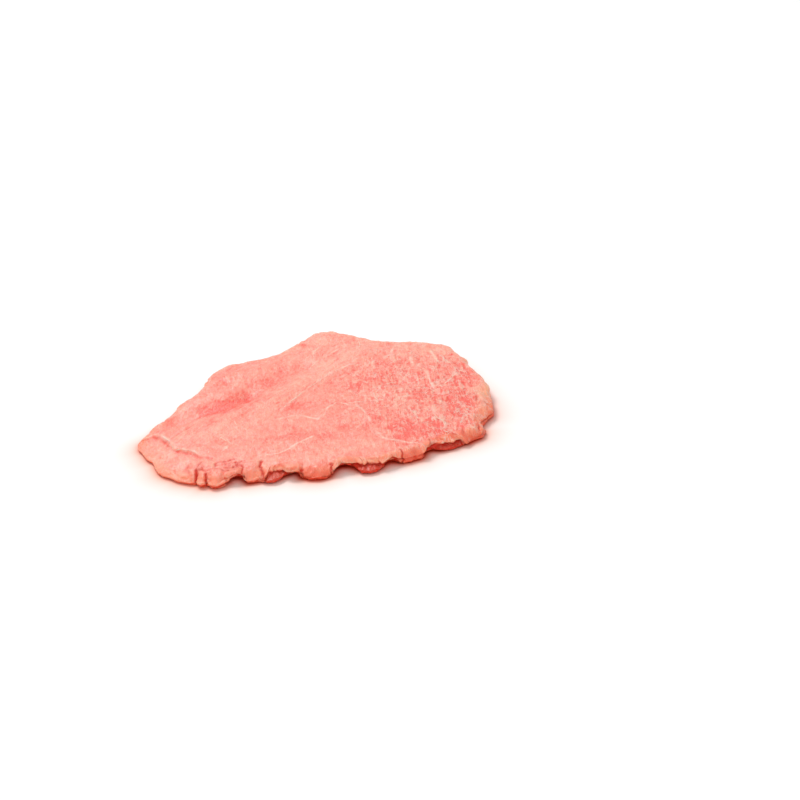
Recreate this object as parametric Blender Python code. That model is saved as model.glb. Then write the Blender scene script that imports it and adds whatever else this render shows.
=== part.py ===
"""Raw pork schnitzel: one thin slice of boneless loin, beaten flat and lying on its flat underside.

Metres, +Z up. The origin is the middle of the slice's outline, on the surface that it lies on. The
uncut, rounded side points to -X, the thin, torn front edge to -Y and the thick rear corner to +Y.

The solid is built from the outside in:
  1. a smooth closed outline through a few corner points
  2. seven rings round the edge, from the foot on the table up to the shoulder of the top face
  3. a grid of points that fills the top face, lifted by a height that is worked out from named relief
  4. a coarse flat grid that closes the underside
"""

import math
import random

import bpy
import numpy as np
from mathutils import Vector
from mathutils.geometry import delaunay_2d_cdt

# ---- driving dimensions -------------------------------------------------------------------------

LENGTH = 0.1738  # along X, rounded side to folded side
WIDTH = 0.1525  # along Y, torn front edge to rear corner
FRONT_THICKNESS = 0.0058  # beaten thin along the front edge
REAR_THICKNESS = 0.0106  # left thicker at the rear
THICKENS = (-0.070, 0.075)  # the thickness grows between these Y
LEFT_TAPER = 0.0024  # how much thinner the rear left edge is than the middle
LEFT_TAPER_X = (-0.035, -0.080)
LEFT_TAPER_Y = (-0.060, -0.020)
CROWN = 0.0006  # how far the middle stands above a straight line between the edges

EDGE_STEP = 0.00165  # distance between points along the edge
TOP_STEP = 0.0029  # distance between points on the top face
UNDERSIDE_STEP = 0.009  # distance between points on the flat underside
SEED = 23

# Corners of the outline, anticlockwise from the rounded left end, and joined by a smooth curve.
OUTLINE = (
    (-0.0858, -0.0200),
    (-0.0828, -0.0315),
    (-0.0778, -0.0425),
    (-0.0735, -0.0535),
    (-0.0665, -0.0625),
    (-0.0560, -0.0697),
    (-0.0450, -0.0738),
    (-0.0335, -0.0722),
    (-0.0215, -0.0740),
    (-0.0100, -0.0733),
    (0.0025, -0.0757),
    (0.0140, -0.0728),
    (0.0270, -0.0745),
    (0.0400, -0.0708),
    (0.0510, -0.0664),
    (0.0610, -0.0613),
    (0.0712, -0.0570),
    (0.0790, -0.0510),
    (0.0818, -0.0455),
    (0.0808, -0.0400),
    (0.0834, -0.0350),
    (0.0868, -0.0280),
    (0.0872, -0.0140),
    (0.0862, -0.0005),
    (0.0830, 0.0110),
    (0.0788, 0.0230),
    (0.0752, 0.0345),
    (0.0716, 0.0425),
    (0.0640, 0.0470),
    (0.0555, 0.0508),
    (0.0430, 0.0545),
    (0.0305, 0.0620),
    (0.0190, 0.0698),
    (0.0085, 0.0762),
    (0.0008, 0.0748),
    (-0.0045, 0.0683),
    (-0.0100, 0.0616),
    (-0.0200, 0.0540),
    (-0.0310, 0.0496),
    (-0.0435, 0.0474),
    (-0.0518, 0.0392),
    (-0.0558, 0.0278),
    (-0.0592, 0.0196),
    (-0.0658, 0.0132),
    (-0.0700, 0.0046),
    (-0.0744, -0.0024),
    (-0.0800, -0.0100),
)

# Round the left end the top layer stops at this line, and a smooth band slopes down from it to the edge.
LIP_LINE = (
    (-0.0840, -0.0130),
    (-0.0785, -0.0172),
    (-0.0745, -0.0215),
    (-0.0702, -0.0292),
    (-0.0677, -0.0362),
    (-0.0630, -0.0402),
    (-0.0585, -0.0442),
    (-0.0535, -0.0487),
    (-0.0440, -0.0520),
)
LIP_STEP = 0.0008  # height of the step at the line
LIP_STEP_WIDTH = 0.0016
BAND_FALL = 0.0016  # how much further the band falls towards the edge
BAND_WIDTH = 0.0130
BAND_END = 0.0100  # the step fades in over this length at either end of the line

NOSE_WIDTH = 0.0034  # inset of the shoulder where the edge is rounded
REAR_NOSE = 0.0016  # how much wider the nose is along the thick rear
REAR_NOSE_Y = (0.0, 0.030)
LEFT_NOSE = 0.0026  # how much wider it is round the left end
LEFT_NOSE_CENTRE = (-0.083, -0.037)
LEFT_NOSE_RADIUS = 0.027
TORN_X = (-0.066, -0.026)  # the edge is torn past the first X, and fully so from the second
TORN_Y = (0.002, -0.028)
MEAN_TORN = 0.78
TORN_WAVES = ((17, 0.16), (29, 0.12))  # (waves round the edge, size): here more, there less
LEAST_TORN = 0.35  # even the rounded edges are torn this much
EDGE_WAVES = ((19, 0.00040), (31, 0.00034), (47, 0.00026), (71, 0.00020))  # raggedness of the outline
TEETH = 0.0004  # size of the finest teeth of a torn edge

# The edge in section, from the table up. A torn edge has a lobe below, an undercut and a thin lip above.
# A rounded edge is a bull nose, whose insets are shares of the nose's width. Heights are shares of the
# thickness. Each row is (name, torn inset, torn height, nose share, round height, raggedness).
EDGE = (
    ("foot", 0.0034, 0.0, 0.45, 0.0, 0.0),
    ("low", 0.0005, 0.12, 0.06, 0.12, 0.45),
    ("side", 0.0001, 0.31, 0.0, 0.35, 0.7),
    ("under", 0.0017, 0.50, 0.08, 0.60, 0.6),
    ("lip", 0.0000, 0.67, 0.30, 0.82, 1.0),
    ("brow", 0.0007, 0.87, 0.61, 0.945, 0.5),
    ("shoulder", 0.0026, 1.0, 1.0, 1.0, 0.0),
)

# Along the front edge, by X: places where the edge lifts off the table, slits, lobes that stick out
# below the lip, and tongues of the torn lip. Each is (x, half width, lift or depth or reach).
FRONT_Y = (-0.030, -0.040)
ARCH_FOOT_INSET = 1.6  # an arch reaches this many times its lift under the slice
ARCHES = (
    (-0.0600, 0.0040, 0.0008),
    (-0.0370, 0.0052, 0.0018),
    (-0.0110, 0.0052, 0.0021),
    (0.0135, 0.0056, 0.0025),
    (0.0355, 0.0046, 0.0022),
    (0.0575, 0.0034, 0.0010),
)
SLITS = (
    (-0.0552, 0.0016, 0.0022),
    (-0.0505, 0.0015, 0.0030),
    (-0.0418, 0.0018, 0.0018),
    (-0.0262, 0.0018, 0.0022),
    (0.0195, 0.0017, 0.0016),
    (0.0470, 0.0018, 0.0014),
)
LOBES = (
    (-0.0530, 0.0020, 0.0010),
    (-0.0465, 0.0032, 0.0012),
    (-0.0195, 0.0058, 0.0013),
    (0.0015, 0.0070, 0.0007),
    (0.0250, 0.0065, 0.0016),
    (0.0435, 0.0060, 0.0012),
)
TONGUES = (
    (-0.0235, 0.0024, 0.0014),
    (-0.0140, 0.0022, 0.0010),
    (0.0060, 0.0030, 0.0008),
    (0.0205, 0.0026, 0.0013),
    (0.0300, 0.0034, 0.0016),
    (0.0540, 0.0030, 0.0008),
    (0.0705, 0.0024, 0.0030),
)

# Relief of the top face: (path, height, width). A negative height is a hollow.
VALLEY = ((-0.066, -0.009), (-0.054, -0.003), (-0.044, 0.000), (-0.033, 0.006))
VALLEY_TAIL = ((-0.030, 0.009), (-0.018, 0.020), (-0.004, 0.033))
LONG_RIDGE = ((-0.066, -0.029), (-0.048, -0.020), (-0.025, -0.005), (0.000, 0.015), (0.025, 0.033))
LEFT_LOBE = ((-0.056, 0.013), (-0.044, 0.026), (-0.028, 0.034))
TROUGH = ((-0.020, -0.019), (-0.006, -0.003), (0.008, 0.012), (0.022, 0.021))
FRONT_RIDGE = ((-0.050, -0.056), (-0.024, -0.047), (0.004, -0.043), (0.022, -0.044))
ARCHED_VEIN = ((0.006, -0.022), (0.012, -0.014), (0.019, -0.016), (0.026, -0.031))
RIGHT_SWELL = ((0.030, -0.030), (0.048, -0.022), (0.060, -0.030))
RIGHT_TROUGH = ((0.022, -0.002), (0.040, 0.006), (0.054, -0.004), (0.064, -0.020))
REAR_SWELL = ((0.012, 0.044), (0.032, 0.036), (0.050, 0.030))
RELIEF = (
    (VALLEY, -0.0028, 0.0066),
    (VALLEY_TAIL, -0.0013, 0.0060),
    (LONG_RIDGE, 0.0010, 0.0085),
    (LEFT_LOBE, 0.0011, 0.0085),
    (TROUGH, -0.0006, 0.0042),
    (FRONT_RIDGE, 0.0006, 0.0065),
    (ARCHED_VEIN, 0.0004, 0.0030),
    (RIGHT_SWELL, 0.0007, 0.0080),
    (RIGHT_TROUGH, -0.0007, 0.0045),
    (REAR_SWELL, 0.0006, 0.0090),
)
RELIEF_FADE = 0.007  # the relief dies out this close to the edge
DENTS = 34  # shallow dents left by the meat mallet
DENT_RADIUS = (0.0045, 0.0095)
DENT_DEPTH = (0.00025, 0.00065)

# The folded flap at the right: the lip curls up there.
FLAP_CENTRE = (0.0870, -0.0200)
FLAP_LENGTH = 0.0120
FLAP_RISE = 0.0014

MEAT_COLOUR = (0.87, 0.36, 0.30, 1.0)
MEAT_ROUGHNESS = 0.42


# ---- helpers ------------------------------------------------------------------------------------


def smooth(share):
    """0 to 1 with soft ends."""
    share = np.clip(share, 0.0, 1.0)
    return share * share * (3.0 - 2.0 * share)


def ramp(value, start, end):
    """0 at start, 1 at end, whichever of them is the larger."""
    return smooth((value - start) / (end - start))


def bell(distance, half_width):
    return np.exp(-((distance / half_width) ** 2))


def closed_curve(corners, step):
    """Points a step apart on a closed Catmull-Rom curve through the corners."""
    corners = np.array(corners)
    fine = []
    share = np.linspace(0.0, 1.0, 24, endpoint=False)[:, None]
    for index in range(len(corners)):
        before, start, end, after = (corners[(index + shift) % len(corners)] for shift in (-1, 0, 1, 2))
        linear = (end - before) * share
        square = (2 * before - 5 * start + 4 * end - after) * share**2
        cube = (3 * start - 3 * end + after - before) * share**3
        fine.append(start + (linear + square + cube) / 2)
    fine = np.concatenate(fine)
    loop = np.vstack([fine, fine[:1]])
    length = np.concatenate([[0.0], np.cumsum(np.linalg.norm(np.diff(loop, axis=0), axis=1))])
    count = round(length[-1] / step)
    at = np.linspace(0.0, length[-1], count, endpoint=False)
    return np.stack([np.interp(at, length, loop[:, axis]) for axis in (0, 1)], axis=1)


def soften(values, rounds):
    for _ in range(rounds):
        values = (np.roll(values, 1, axis=0) + 2 * values + np.roll(values, -1, axis=0)) / 4
    return values


def outward_normals(points):
    along = soften(np.roll(points, -1, axis=0) - np.roll(points, 1, axis=0), 6)
    along /= np.linalg.norm(along, axis=1)[:, None]
    return np.stack([along[:, 1], -along[:, 0]], axis=1)


def signed_distance(points, path, closed=False):
    """Distance from each point to a chain of straight stretches, negative on its left side."""
    path = np.array(path)
    ends = np.roll(path, -1, axis=0) if closed else path[1:]
    starts = path if closed else path[:-1]
    nearest = np.full(len(points), np.inf)
    signed = np.zeros(len(points))
    for start, end in zip(starts, ends):
        stretch = end - start
        share = np.clip(((points - start) @ stretch) / (stretch @ stretch), 0.0, 1.0)
        gap = points - start - share[:, None] * stretch
        far = np.hypot(gap[:, 0], gap[:, 1])
        side = np.where(stretch[1] * gap[:, 0] > stretch[0] * gap[:, 1], 1.0, -1.0)
        signed = np.where(far < nearest, side * far, signed)
        nearest = np.minimum(nearest, far)
    return signed


def inside(points, polygon):
    """Even-odd test of each point against a closed polygon."""
    found = np.zeros(len(points), bool)
    for start, end in zip(polygon, np.roll(polygon, -1, axis=0)):
        if start[1] == end[1]:
            continue
        crosses = (start[1] > points[:, 1]) != (end[1] > points[:, 1])
        at = start[0] + (points[:, 1] - start[1]) * (end[0] - start[0]) / (end[1] - start[1])
        found ^= crosses & (points[:, 0] < at)
    return found


def hex_grid(polygon, step, clearance):
    """Points of a triangular grid inside the polygon and clear of its sides."""
    low = polygon.min(axis=0)
    high = polygon.max(axis=0)
    row_step = step * math.sqrt(3) / 2
    rows = []
    for row, y in enumerate(np.arange(low[1], high[1], row_step)):
        xs = np.arange(low[0] + (row % 2) * step / 2, high[0], step)
        rows.append(np.stack([xs, np.full(len(xs), y)], axis=1))
    points = np.concatenate(rows)
    points = points[inside(points, polygon)]
    return points[-signed_distance(points, polygon, closed=True) > clearance]


# ---- thickness and relief -----------------------------------------------------------------------


def lip_drop(points):
    """How far the top face drops on the edge's side of the lip line: a small step, then a slope."""
    beyond = signed_distance(points, LIP_LINE)
    chord = np.array(LIP_LINE[-1]) - LIP_LINE[0]
    length = np.linalg.norm(chord)
    run = (points - LIP_LINE[0]) @ chord / length
    present = smooth(run / BAND_END) * smooth((length - run) / BAND_END)
    step = LIP_STEP * ramp(beyond, -LIP_STEP_WIDTH / 2, LIP_STEP_WIDTH / 2)
    return present * (step + BAND_FALL * smooth(beyond / BAND_WIDTH))


def thickness(points):
    """The slice's plain thickness: thin in front, thick behind, and tapered at the rear left."""
    x, y = points[:, 0], points[:, 1]
    wedge = FRONT_THICKNESS + (REAR_THICKNESS - FRONT_THICKNESS) * ramp(y, *THICKENS)
    taper = LEFT_TAPER * ramp(x, *LEFT_TAPER_X) * ramp(y, *LEFT_TAPER_Y)
    return wedge - taper - lip_drop(points)


def top_height(points, outline):
    """Height of the top face: the thickness, a crown, the named relief and the mallet's dents."""
    from_edge = -signed_distance(points, outline, closed=True)
    height = thickness(points) + CROWN * smooth(from_edge / 0.025)
    relief = np.zeros(len(points))
    for path, rise, width in RELIEF:
        relief += rise * bell(signed_distance(points, path), width)
    draw = random.Random(SEED)
    for _ in range(DENTS):
        centre = np.array([draw.uniform(-0.075, 0.078), draw.uniform(-0.062, 0.060)])
        radius = draw.uniform(*DENT_RADIUS)
        depth = draw.uniform(*DENT_DEPTH)
        relief -= depth * bell(np.hypot(*(points - centre).T), radius)
    return height + relief * smooth(from_edge / RELIEF_FADE)


# ---- edge ---------------------------------------------------------------------------------------


def front_events(outline, events):
    """Sum of soft bumps along the front edge, one for each (x, half width, size)."""
    bumps = sum(size * bell(outline[:, 0] - x, half_width) for x, half_width, size in events)
    return bumps * ramp(outline[:, 1], *FRONT_Y)


def round_waves(count, waves, draw):
    """Sum of waves that run round the edge, each (how many, size), with seeded phases."""
    turn = np.linspace(0.0, 2 * math.pi, count, endpoint=False)
    return sum(size * np.sin(cycles * turn + draw.uniform(0.0, 2 * math.pi)) for cycles, size in waves)


def edge_rings(outline):
    """The rings of the edge, foot first, as arrays of 3-D points."""
    count = len(outline)
    draw = random.Random(SEED)
    normals = outward_normals(outline)
    thick = thickness(outline)
    x, y = outline[:, 0], outline[:, 1]
    left_end = bell(np.hypot(*(outline - np.array(LEFT_NOSE_CENTRE)).T), LEFT_NOSE_RADIUS)
    nose = NOSE_WIDTH + LEFT_NOSE * left_end + REAR_NOSE * ramp(y, *REAR_NOSE_Y)
    # The front and the right side are torn, here more and there less; the rear and left are rounded.
    torn = ramp(x, *TORN_X) * ramp(y, *TORN_Y) * (MEAN_TORN + round_waves(count, TORN_WAVES, draw))
    torn = np.maximum(torn, LEAST_TORN * (1 - left_end))
    arch = front_events(outline, ARCHES)
    slit = front_events(outline, SLITS)
    lobe = front_events(outline, LOBES)
    tongue = front_events(outline, TONGUES)
    ragged = round_waves(count, EDGE_WAVES, draw) - slit
    flap = bell(np.hypot(*(outline - np.array(FLAP_CENTRE)).T), FLAP_LENGTH) * FLAP_RISE

    out_by_ring = {
        "foot": -ARCH_FOOT_INSET * arch,
        "low": 0.5 * lobe - 0.3 * arch,
        "side": lobe,
        "lip": tongue,
        "brow": 0.5 * tongue,
    }
    up_by_ring = {
        "low": arch,
        "side": 0.7 * arch,
        "under": 0.25 * arch,
        "lip": flap - 0.25 * tongue,
        "brow": 0.8 * flap,
    }
    rings = []
    for name, torn_inset, torn_share, nose_share, round_share, raggedness in EDGE:
        teeth = soften(np.array([draw.uniform(-1.0, 1.0) for _ in range(count)]), 1)
        out = raggedness * (ragged + TEETH * torn * teeth) + out_by_ring.get(name, 0.0)
        out -= torn * torn_inset + (1 - torn) * nose_share * nose
        plan = outline + normals * out[:, None]
        height = thick * (torn * torn_share + (1 - torn) * round_share) + up_by_ring.get(name, 0.0)
        if name == "shoulder":
            height = top_height(plan, outline)
        rings.append(np.column_stack([plan, height]))
    return rings


# ---- solid --------------------------------------------------------------------------------------


def filled(ring, grid):
    """Triangles that fill a ring, over the ring's points and then the grid's."""
    points = [Vector(point) for point in np.vstack([ring, grid])]
    result = delaunay_2d_cdt(points, [], [list(range(len(ring)))], 1, 1e-9)
    assert len(result[0]) == len(points), "the fill added or merged a point"
    return [tuple(face) for face in result[2]]


def build_solid():
    """Points and triangles of the whole slice, in metres, centred on the origin."""
    outline = closed_curve(OUTLINE, EDGE_STEP)
    rings = edge_rings(outline)
    count = len(outline)
    points = np.vstack(rings)
    faces = []
    for level in range(len(rings) - 1):
        for index in range(count):
            after = (index + 1) % count
            low, high = level * count, (level + 1) * count
            faces.append((low + index, low + after, high + after))
            faces.append((low + index, high + after, high + index))

    shoulder = rings[-1][:, :2]
    top_grid = hex_grid(shoulder, TOP_STEP, 0.6 * TOP_STEP)
    shoulder_ids = np.arange(count) + (len(rings) - 1) * count
    top_ids = np.concatenate([shoulder_ids, np.arange(len(top_grid)) + len(points)])
    points = np.vstack([points, np.column_stack([top_grid, top_height(top_grid, outline)])])
    faces += [tuple(top_ids[corner] for corner in face) for face in filled(shoulder, top_grid)]

    foot = rings[0][:, :2]
    under_grid = hex_grid(foot, UNDERSIDE_STEP, 0.5 * UNDERSIDE_STEP)
    under_ids = np.concatenate([np.arange(count), np.arange(len(under_grid)) + len(points)])
    points = np.vstack([points, np.column_stack([under_grid, np.zeros(len(under_grid))])])
    faces += [tuple(under_ids[corner] for corner in reversed(face)) for face in filled(foot, under_grid)]

    low, high = points[:, :2].min(axis=0), points[:, :2].max(axis=0)
    print("plan before it is centred and sized, mm:", (1000 * low).round(2), (1000 * high).round(2))
    points[:, :2] = (points[:, :2] - (low + high) / 2) * (LENGTH, WIDTH) / (high - low)
    return points.tolist(), [tuple(int(corner) for corner in face) for face in faces]


def meat_material():
    material = bpy.data.materials.new("raw_pork")
    material.use_nodes = True
    shader = material.node_tree.nodes["Principled BSDF"]
    shader.inputs["Base Color"].default_value = MEAT_COLOUR
    shader.inputs["Roughness"].default_value = MEAT_ROUGHNESS
    shader.inputs["Metallic"].default_value = 0.0
    material.diffuse_color = MEAT_COLOUR
    return material


def main():
    for old in list(bpy.data.objects):
        bpy.data.objects.remove(old, do_unlink=True)
    points, faces = build_solid()
    mesh = bpy.data.meshes.new("schnitzel")
    mesh.from_pydata(points, [], faces)
    mesh.materials.append(meat_material())
    mesh.shade_smooth()
    schnitzel = bpy.data.objects.new("schnitzel", mesh)
    bpy.context.scene.collection.objects.link(schnitzel)
    print(f"schnitzel: {len(points)} points, {len(faces)} triangles")


main()
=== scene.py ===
# %% [markdown]
# # A raw pork schnitzel
# A schnitzel is one thin slice of boneless pork, cut across the muscle and beaten flat with a mallet.
# The CAD solid gives its true outline, thickness and main relief. This script gives it flesh: a finer
# skin with torn edges, fibres and mallet marks, pale threads of fat and sinew, and a moist finish.
# Lengths are in metres, and the slice lies on the plane z = 0 with its torn front edge towards -Y.

import math

import bmesh
import bpy
import numpy as np
from mathutils import Matrix, Vector, noise
from mathutils.geometry import delaunay_2d_cdt


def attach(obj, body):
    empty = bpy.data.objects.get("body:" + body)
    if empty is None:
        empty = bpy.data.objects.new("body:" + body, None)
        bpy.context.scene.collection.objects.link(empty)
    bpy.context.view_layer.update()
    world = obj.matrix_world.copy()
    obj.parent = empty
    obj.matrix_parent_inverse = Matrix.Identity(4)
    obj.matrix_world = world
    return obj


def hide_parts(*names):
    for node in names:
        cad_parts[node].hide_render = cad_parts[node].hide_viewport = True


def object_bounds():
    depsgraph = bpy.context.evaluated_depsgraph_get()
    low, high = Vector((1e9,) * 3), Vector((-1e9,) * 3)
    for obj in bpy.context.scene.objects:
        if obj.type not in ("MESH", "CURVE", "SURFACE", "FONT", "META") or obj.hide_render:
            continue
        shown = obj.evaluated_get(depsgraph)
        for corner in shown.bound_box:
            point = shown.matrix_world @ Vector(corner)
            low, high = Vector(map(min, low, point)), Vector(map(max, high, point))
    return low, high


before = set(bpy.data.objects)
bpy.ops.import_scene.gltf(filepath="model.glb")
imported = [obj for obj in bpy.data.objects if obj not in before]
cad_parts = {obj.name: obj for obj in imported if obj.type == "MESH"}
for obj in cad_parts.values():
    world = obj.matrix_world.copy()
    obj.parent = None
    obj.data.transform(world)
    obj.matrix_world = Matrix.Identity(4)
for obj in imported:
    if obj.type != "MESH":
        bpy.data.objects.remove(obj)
cad_low, cad_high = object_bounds()
MM = 0.001
print("CAD box, mm:", [round(1000 * side, 2) for side in cad_high - cad_low])

# %% [markdown]
# ## Camera and light
# The camera looks down at a slant from far away through a long lens, as for a packshot. The world is an
# even white, as a light tent is. A large soft lamp above and behind the slice models its top, and a weaker
# one in front lightens the edge that faces the camera, which stays a little darker than the top. The
# render is shown as it is, with no film curve, because raw meat looks brownish under one.

# %% Set up the studio
scene = bpy.context.scene
CAMERA_PLACE = (0.0420, -0.9468, 0.4466)
CAMERA_DOWN = 25.209  # degrees below the horizon
CAMERA_ROLL = 5.974  # degrees clockwise
CAMERA_LENS = 95.395
SENSOR = 36.0

camera_data = bpy.data.cameras.new("camera")
camera_data.lens = CAMERA_LENS
camera_data.sensor_width = SENSOR
camera_data.clip_start = 0.05
camera = bpy.data.objects.new("camera", camera_data)
scene.collection.objects.link(camera)
tilt = Matrix.Rotation(math.radians(90 - CAMERA_DOWN), 4, "X")
roll = Matrix.Rotation(math.radians(-CAMERA_ROLL), 4, "Z")
camera.matrix_world = Matrix.Translation(CAMERA_PLACE) @ tilt @ roll
scene.camera = camera

WORLD_LIGHT = 0.52
LAMP_SIZE = 0.7
# Each lamp: name, place, watts.
LAMPS = (
    ("softbox", (-0.45, 0.80, 1.15), 14.0),
    ("fill", (0.25, -1.00, 0.75), 5.0),
)

world = bpy.data.worlds.new("light tent")
world.use_nodes = True
background = world.node_tree.nodes["Background"]
background.inputs["Color"].default_value = (1.0, 1.0, 1.0, 1.0)
background.inputs["Strength"].default_value = WORLD_LIGHT
scene.world = world
for name, lamp_place, watts in LAMPS:
    lamp_data = bpy.data.lights.new(name, "AREA")
    lamp_data.energy = watts
    lamp_data.size = LAMP_SIZE
    lamp = bpy.data.objects.new(name, lamp_data)
    lamp.location = lamp_place
    lamp.rotation_mode = "QUATERNION"
    lamp.rotation_quaternion = Vector(lamp_place).to_track_quat("Z", "Y")
    scene.collection.objects.link(lamp)
scene.view_settings.view_transform = "Standard"
print("camera", [round(value, 3) for value in camera.location], "lamps", [lamp[2] for lamp in LAMPS], "W")

# %% [markdown]
# ## A copy of the solid
# The CAD solid comes as loose triangles, so a copy of it is welded first. The flat underside is left out
# here, because it needs no rounding, and it gets a mesh of its own further down.

# %% Weld a copy of the solid
WELD = 1e-6
FLAT = 1e-5


def welded(node):
    """Points and triangles of a CAD node, whose loose triangles are joined up first."""
    shape = bmesh.new()
    shape.from_mesh(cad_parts[node].data)
    bmesh.ops.remove_doubles(shape, verts=shape.verts, dist=WELD)
    bmesh.ops.triangulate(shape, faces=shape.faces)
    shape.verts.index_update()
    points = np.array([tuple(vert.co) for vert in shape.verts])
    triangles = np.array([[vert.index for vert in face.verts] for face in shape.faces])
    shape.free()
    return points, triangles


def compact(points, triangles):
    """The same triangles with only the points that they use."""
    used, numbers = np.unique(triangles, return_inverse=True)
    return points[used], numbers.reshape(-1, 3)


solid_points, solid_triangles = welded("schnitzel")
lies_flat = (solid_points[solid_triangles, 2] < FLAT).all(axis=1)
shell_points, shell_triangles = compact(solid_points, solid_triangles[~lies_flat])
print("solid:", len(solid_triangles), "triangles, of which", int(lies_flat.sum()), "lie on the table")

# %% [markdown]
# ## A finer skin
# The solid has points 3 mm apart, which is too coarse for flesh. Blender's own subdivision is made for
# four-sided faces, so the triangles are split here by Loop's rule, which rounds a triangle mesh evenly:
# every point moves a little towards its neighbours. So the first helpers find the sides and neighbours.

# %% Find sides and neighbours
def sides_of(triangles):
    """Each side once, the number of every triangle's three sides, and how many triangles share a side."""
    sides = np.concatenate([triangles[:, [0, 1]], triangles[:, [1, 2]], triangles[:, [2, 0]]])
    once, numbers, shared = np.unique(
        np.sort(sides, axis=1), axis=0, return_inverse=True, return_counts=True
    )
    return once, numbers.reshape(3, -1).T, shared


def neighbour_sums(count, points, ends):
    """For each point, how many neighbours it has over these sides, and the sum of their places."""
    total = np.zeros((count, 3))
    number = np.zeros(count)
    for here, there in ((0, 1), (1, 0)):
        np.add.at(total, ends[:, here], points[ends[:, there]])
        np.add.at(number, ends[:, here], 1)
    return number, total


once, _, shared = sides_of(shell_triangles)
print("shell:", len(once), "sides,", int((shared == 1).sum()), "of them on the open rim")

# %% [markdown]
# ## Rounding without shrinking
# Rounding pulls the surface inwards, so the control points are first pushed out until the rounded surface
# runs through the points of the solid again. Then two rounds of splitting make 16 triangles of each.

# %% Split triangles by Loop's rule
PUSH_ROUNDS = 3
SPLIT_ROUNDS = 2


def loop_weight(number):
    """Loop's share of each neighbour in the place of a point that has that many."""
    return (5 / 8 - (3 / 8 + np.cos(2 * np.pi / number) / 4) ** 2) / number


def moved(points, ends, shared, inner_weight, rim_weight):
    """Every point drawn towards its neighbours, along the rim only for a point of the open rim."""
    number, total = neighbour_sums(len(points), points, ends)
    weight = inner_weight(number)[:, None]
    inner = (1 - number[:, None] * weight) * points + weight * total
    rim_number, rim_total = neighbour_sums(len(points), points, ends[shared == 1])
    on_rim = (1 - 2 * rim_weight) * points + rim_weight * rim_total
    return np.where(rim_number[:, None] > 0, on_rim, inner)


def pushed_out(points, triangles):
    """Control points whose rounded surface passes through the given points."""
    ends, _, shared = sides_of(triangles)
    control = points.copy()
    for _ in range(PUSH_ROUNDS):
        limit = moved(control, ends, shared, lambda n: 1 / (n + 3 / (8 * loop_weight(n))), 1 / 6)
        control += points - limit
    return control


def split(points, triangles):
    """One round of Loop's rule: four triangles for each."""
    ends, numbers, shared = sides_of(triangles)
    middle = points[ends].sum(axis=1)
    across = np.zeros_like(middle)
    for side, corner in enumerate((2, 0, 1)):
        np.add.at(across, numbers[:, side], points[triangles[:, corner]])
    middle = np.where(shared[:, None] == 1, middle / 2, middle * 3 / 8 + across / 8)
    kept = moved(points, ends, shared, loop_weight, 1 / 8)
    a, b, c = triangles.T
    ab, bc, ca = (numbers + len(points)).T
    corners = [(a, ab, ca), (b, bc, ab), (c, ca, bc), (ab, bc, ca)]
    return np.vstack([kept, middle]), np.concatenate([np.stack(one, axis=1) for one in corners])


skin_points, skin_triangles = pushed_out(shell_points, shell_triangles), shell_triangles
for _ in range(SPLIT_ROUNDS):
    skin_points, skin_triangles = split(skin_points, skin_triangles)
print("skin:", len(skin_points), "points,", len(skin_triangles), "triangles")

# %% [markdown]
# ## Soft limits
# Nothing on the slice starts or stops sharply. Two curves fade every form and colour in and out: a ramp
# from one value to another, and a bell round one value.

# %% Define ramps and bells
def smooth(share):
    share = np.clip(share, 0.0, 1.0)
    return share * share * (3.0 - 2.0 * share)


def ramp(value, start, end):
    """0 at start and 1 at end, whichever of them is the larger, with soft ends."""
    return smooth((value - start) / (end - start))


def bell(distance, half_width):
    """1 at no distance, and near 0 from twice the half width on."""
    return np.exp(-((distance / half_width) ** 2))


print("a ramp's quarters:", [round(float(ramp(share, 0, 1)), 2) for share in (0.25, 0.50, 0.75)])

# %% [markdown]
# ## Where a point lies on the rim
# What a torn edge looks like depends on three things: how far in from the outline a point lies, how high
# it stands between the table and the top, and where along the edge it is. Seen from a point in the
# middle, the outline is reached once in every direction, so the farthest point in each direction gives
# the outline, and each point of the skin reads its place from there.

# %% Measure the rim
MIDDLE = np.array([0.0, -0.010])
DIRECTIONS = 900
OUTLINE_ROUNDS = 3
HEIGHT_ROUNDS = 14
SHOULDER_INSET = 0.006


def soften(values, rounds):
    """Values round the rim, each averaged with its two neighbours that many times."""
    for _ in range(rounds):
        values = (np.roll(values, 1, axis=0) + 2 * values + np.roll(values, -1, axis=0)) / 4
    return values


def largest_by_direction(turn, values):
    """The largest value in each of the directions from the middle."""
    slot = np.floor((turn / (2 * np.pi) + 0.5) * DIRECTIONS).astype(int) % DIRECTIONS
    largest = np.full(DIRECTIONS, -1.0)
    np.maximum.at(largest, slot, values)
    known = np.flatnonzero(largest > -1.0)
    return np.interp(np.arange(DIRECTIONS), known, largest[known], period=DIRECTIONS)


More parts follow.
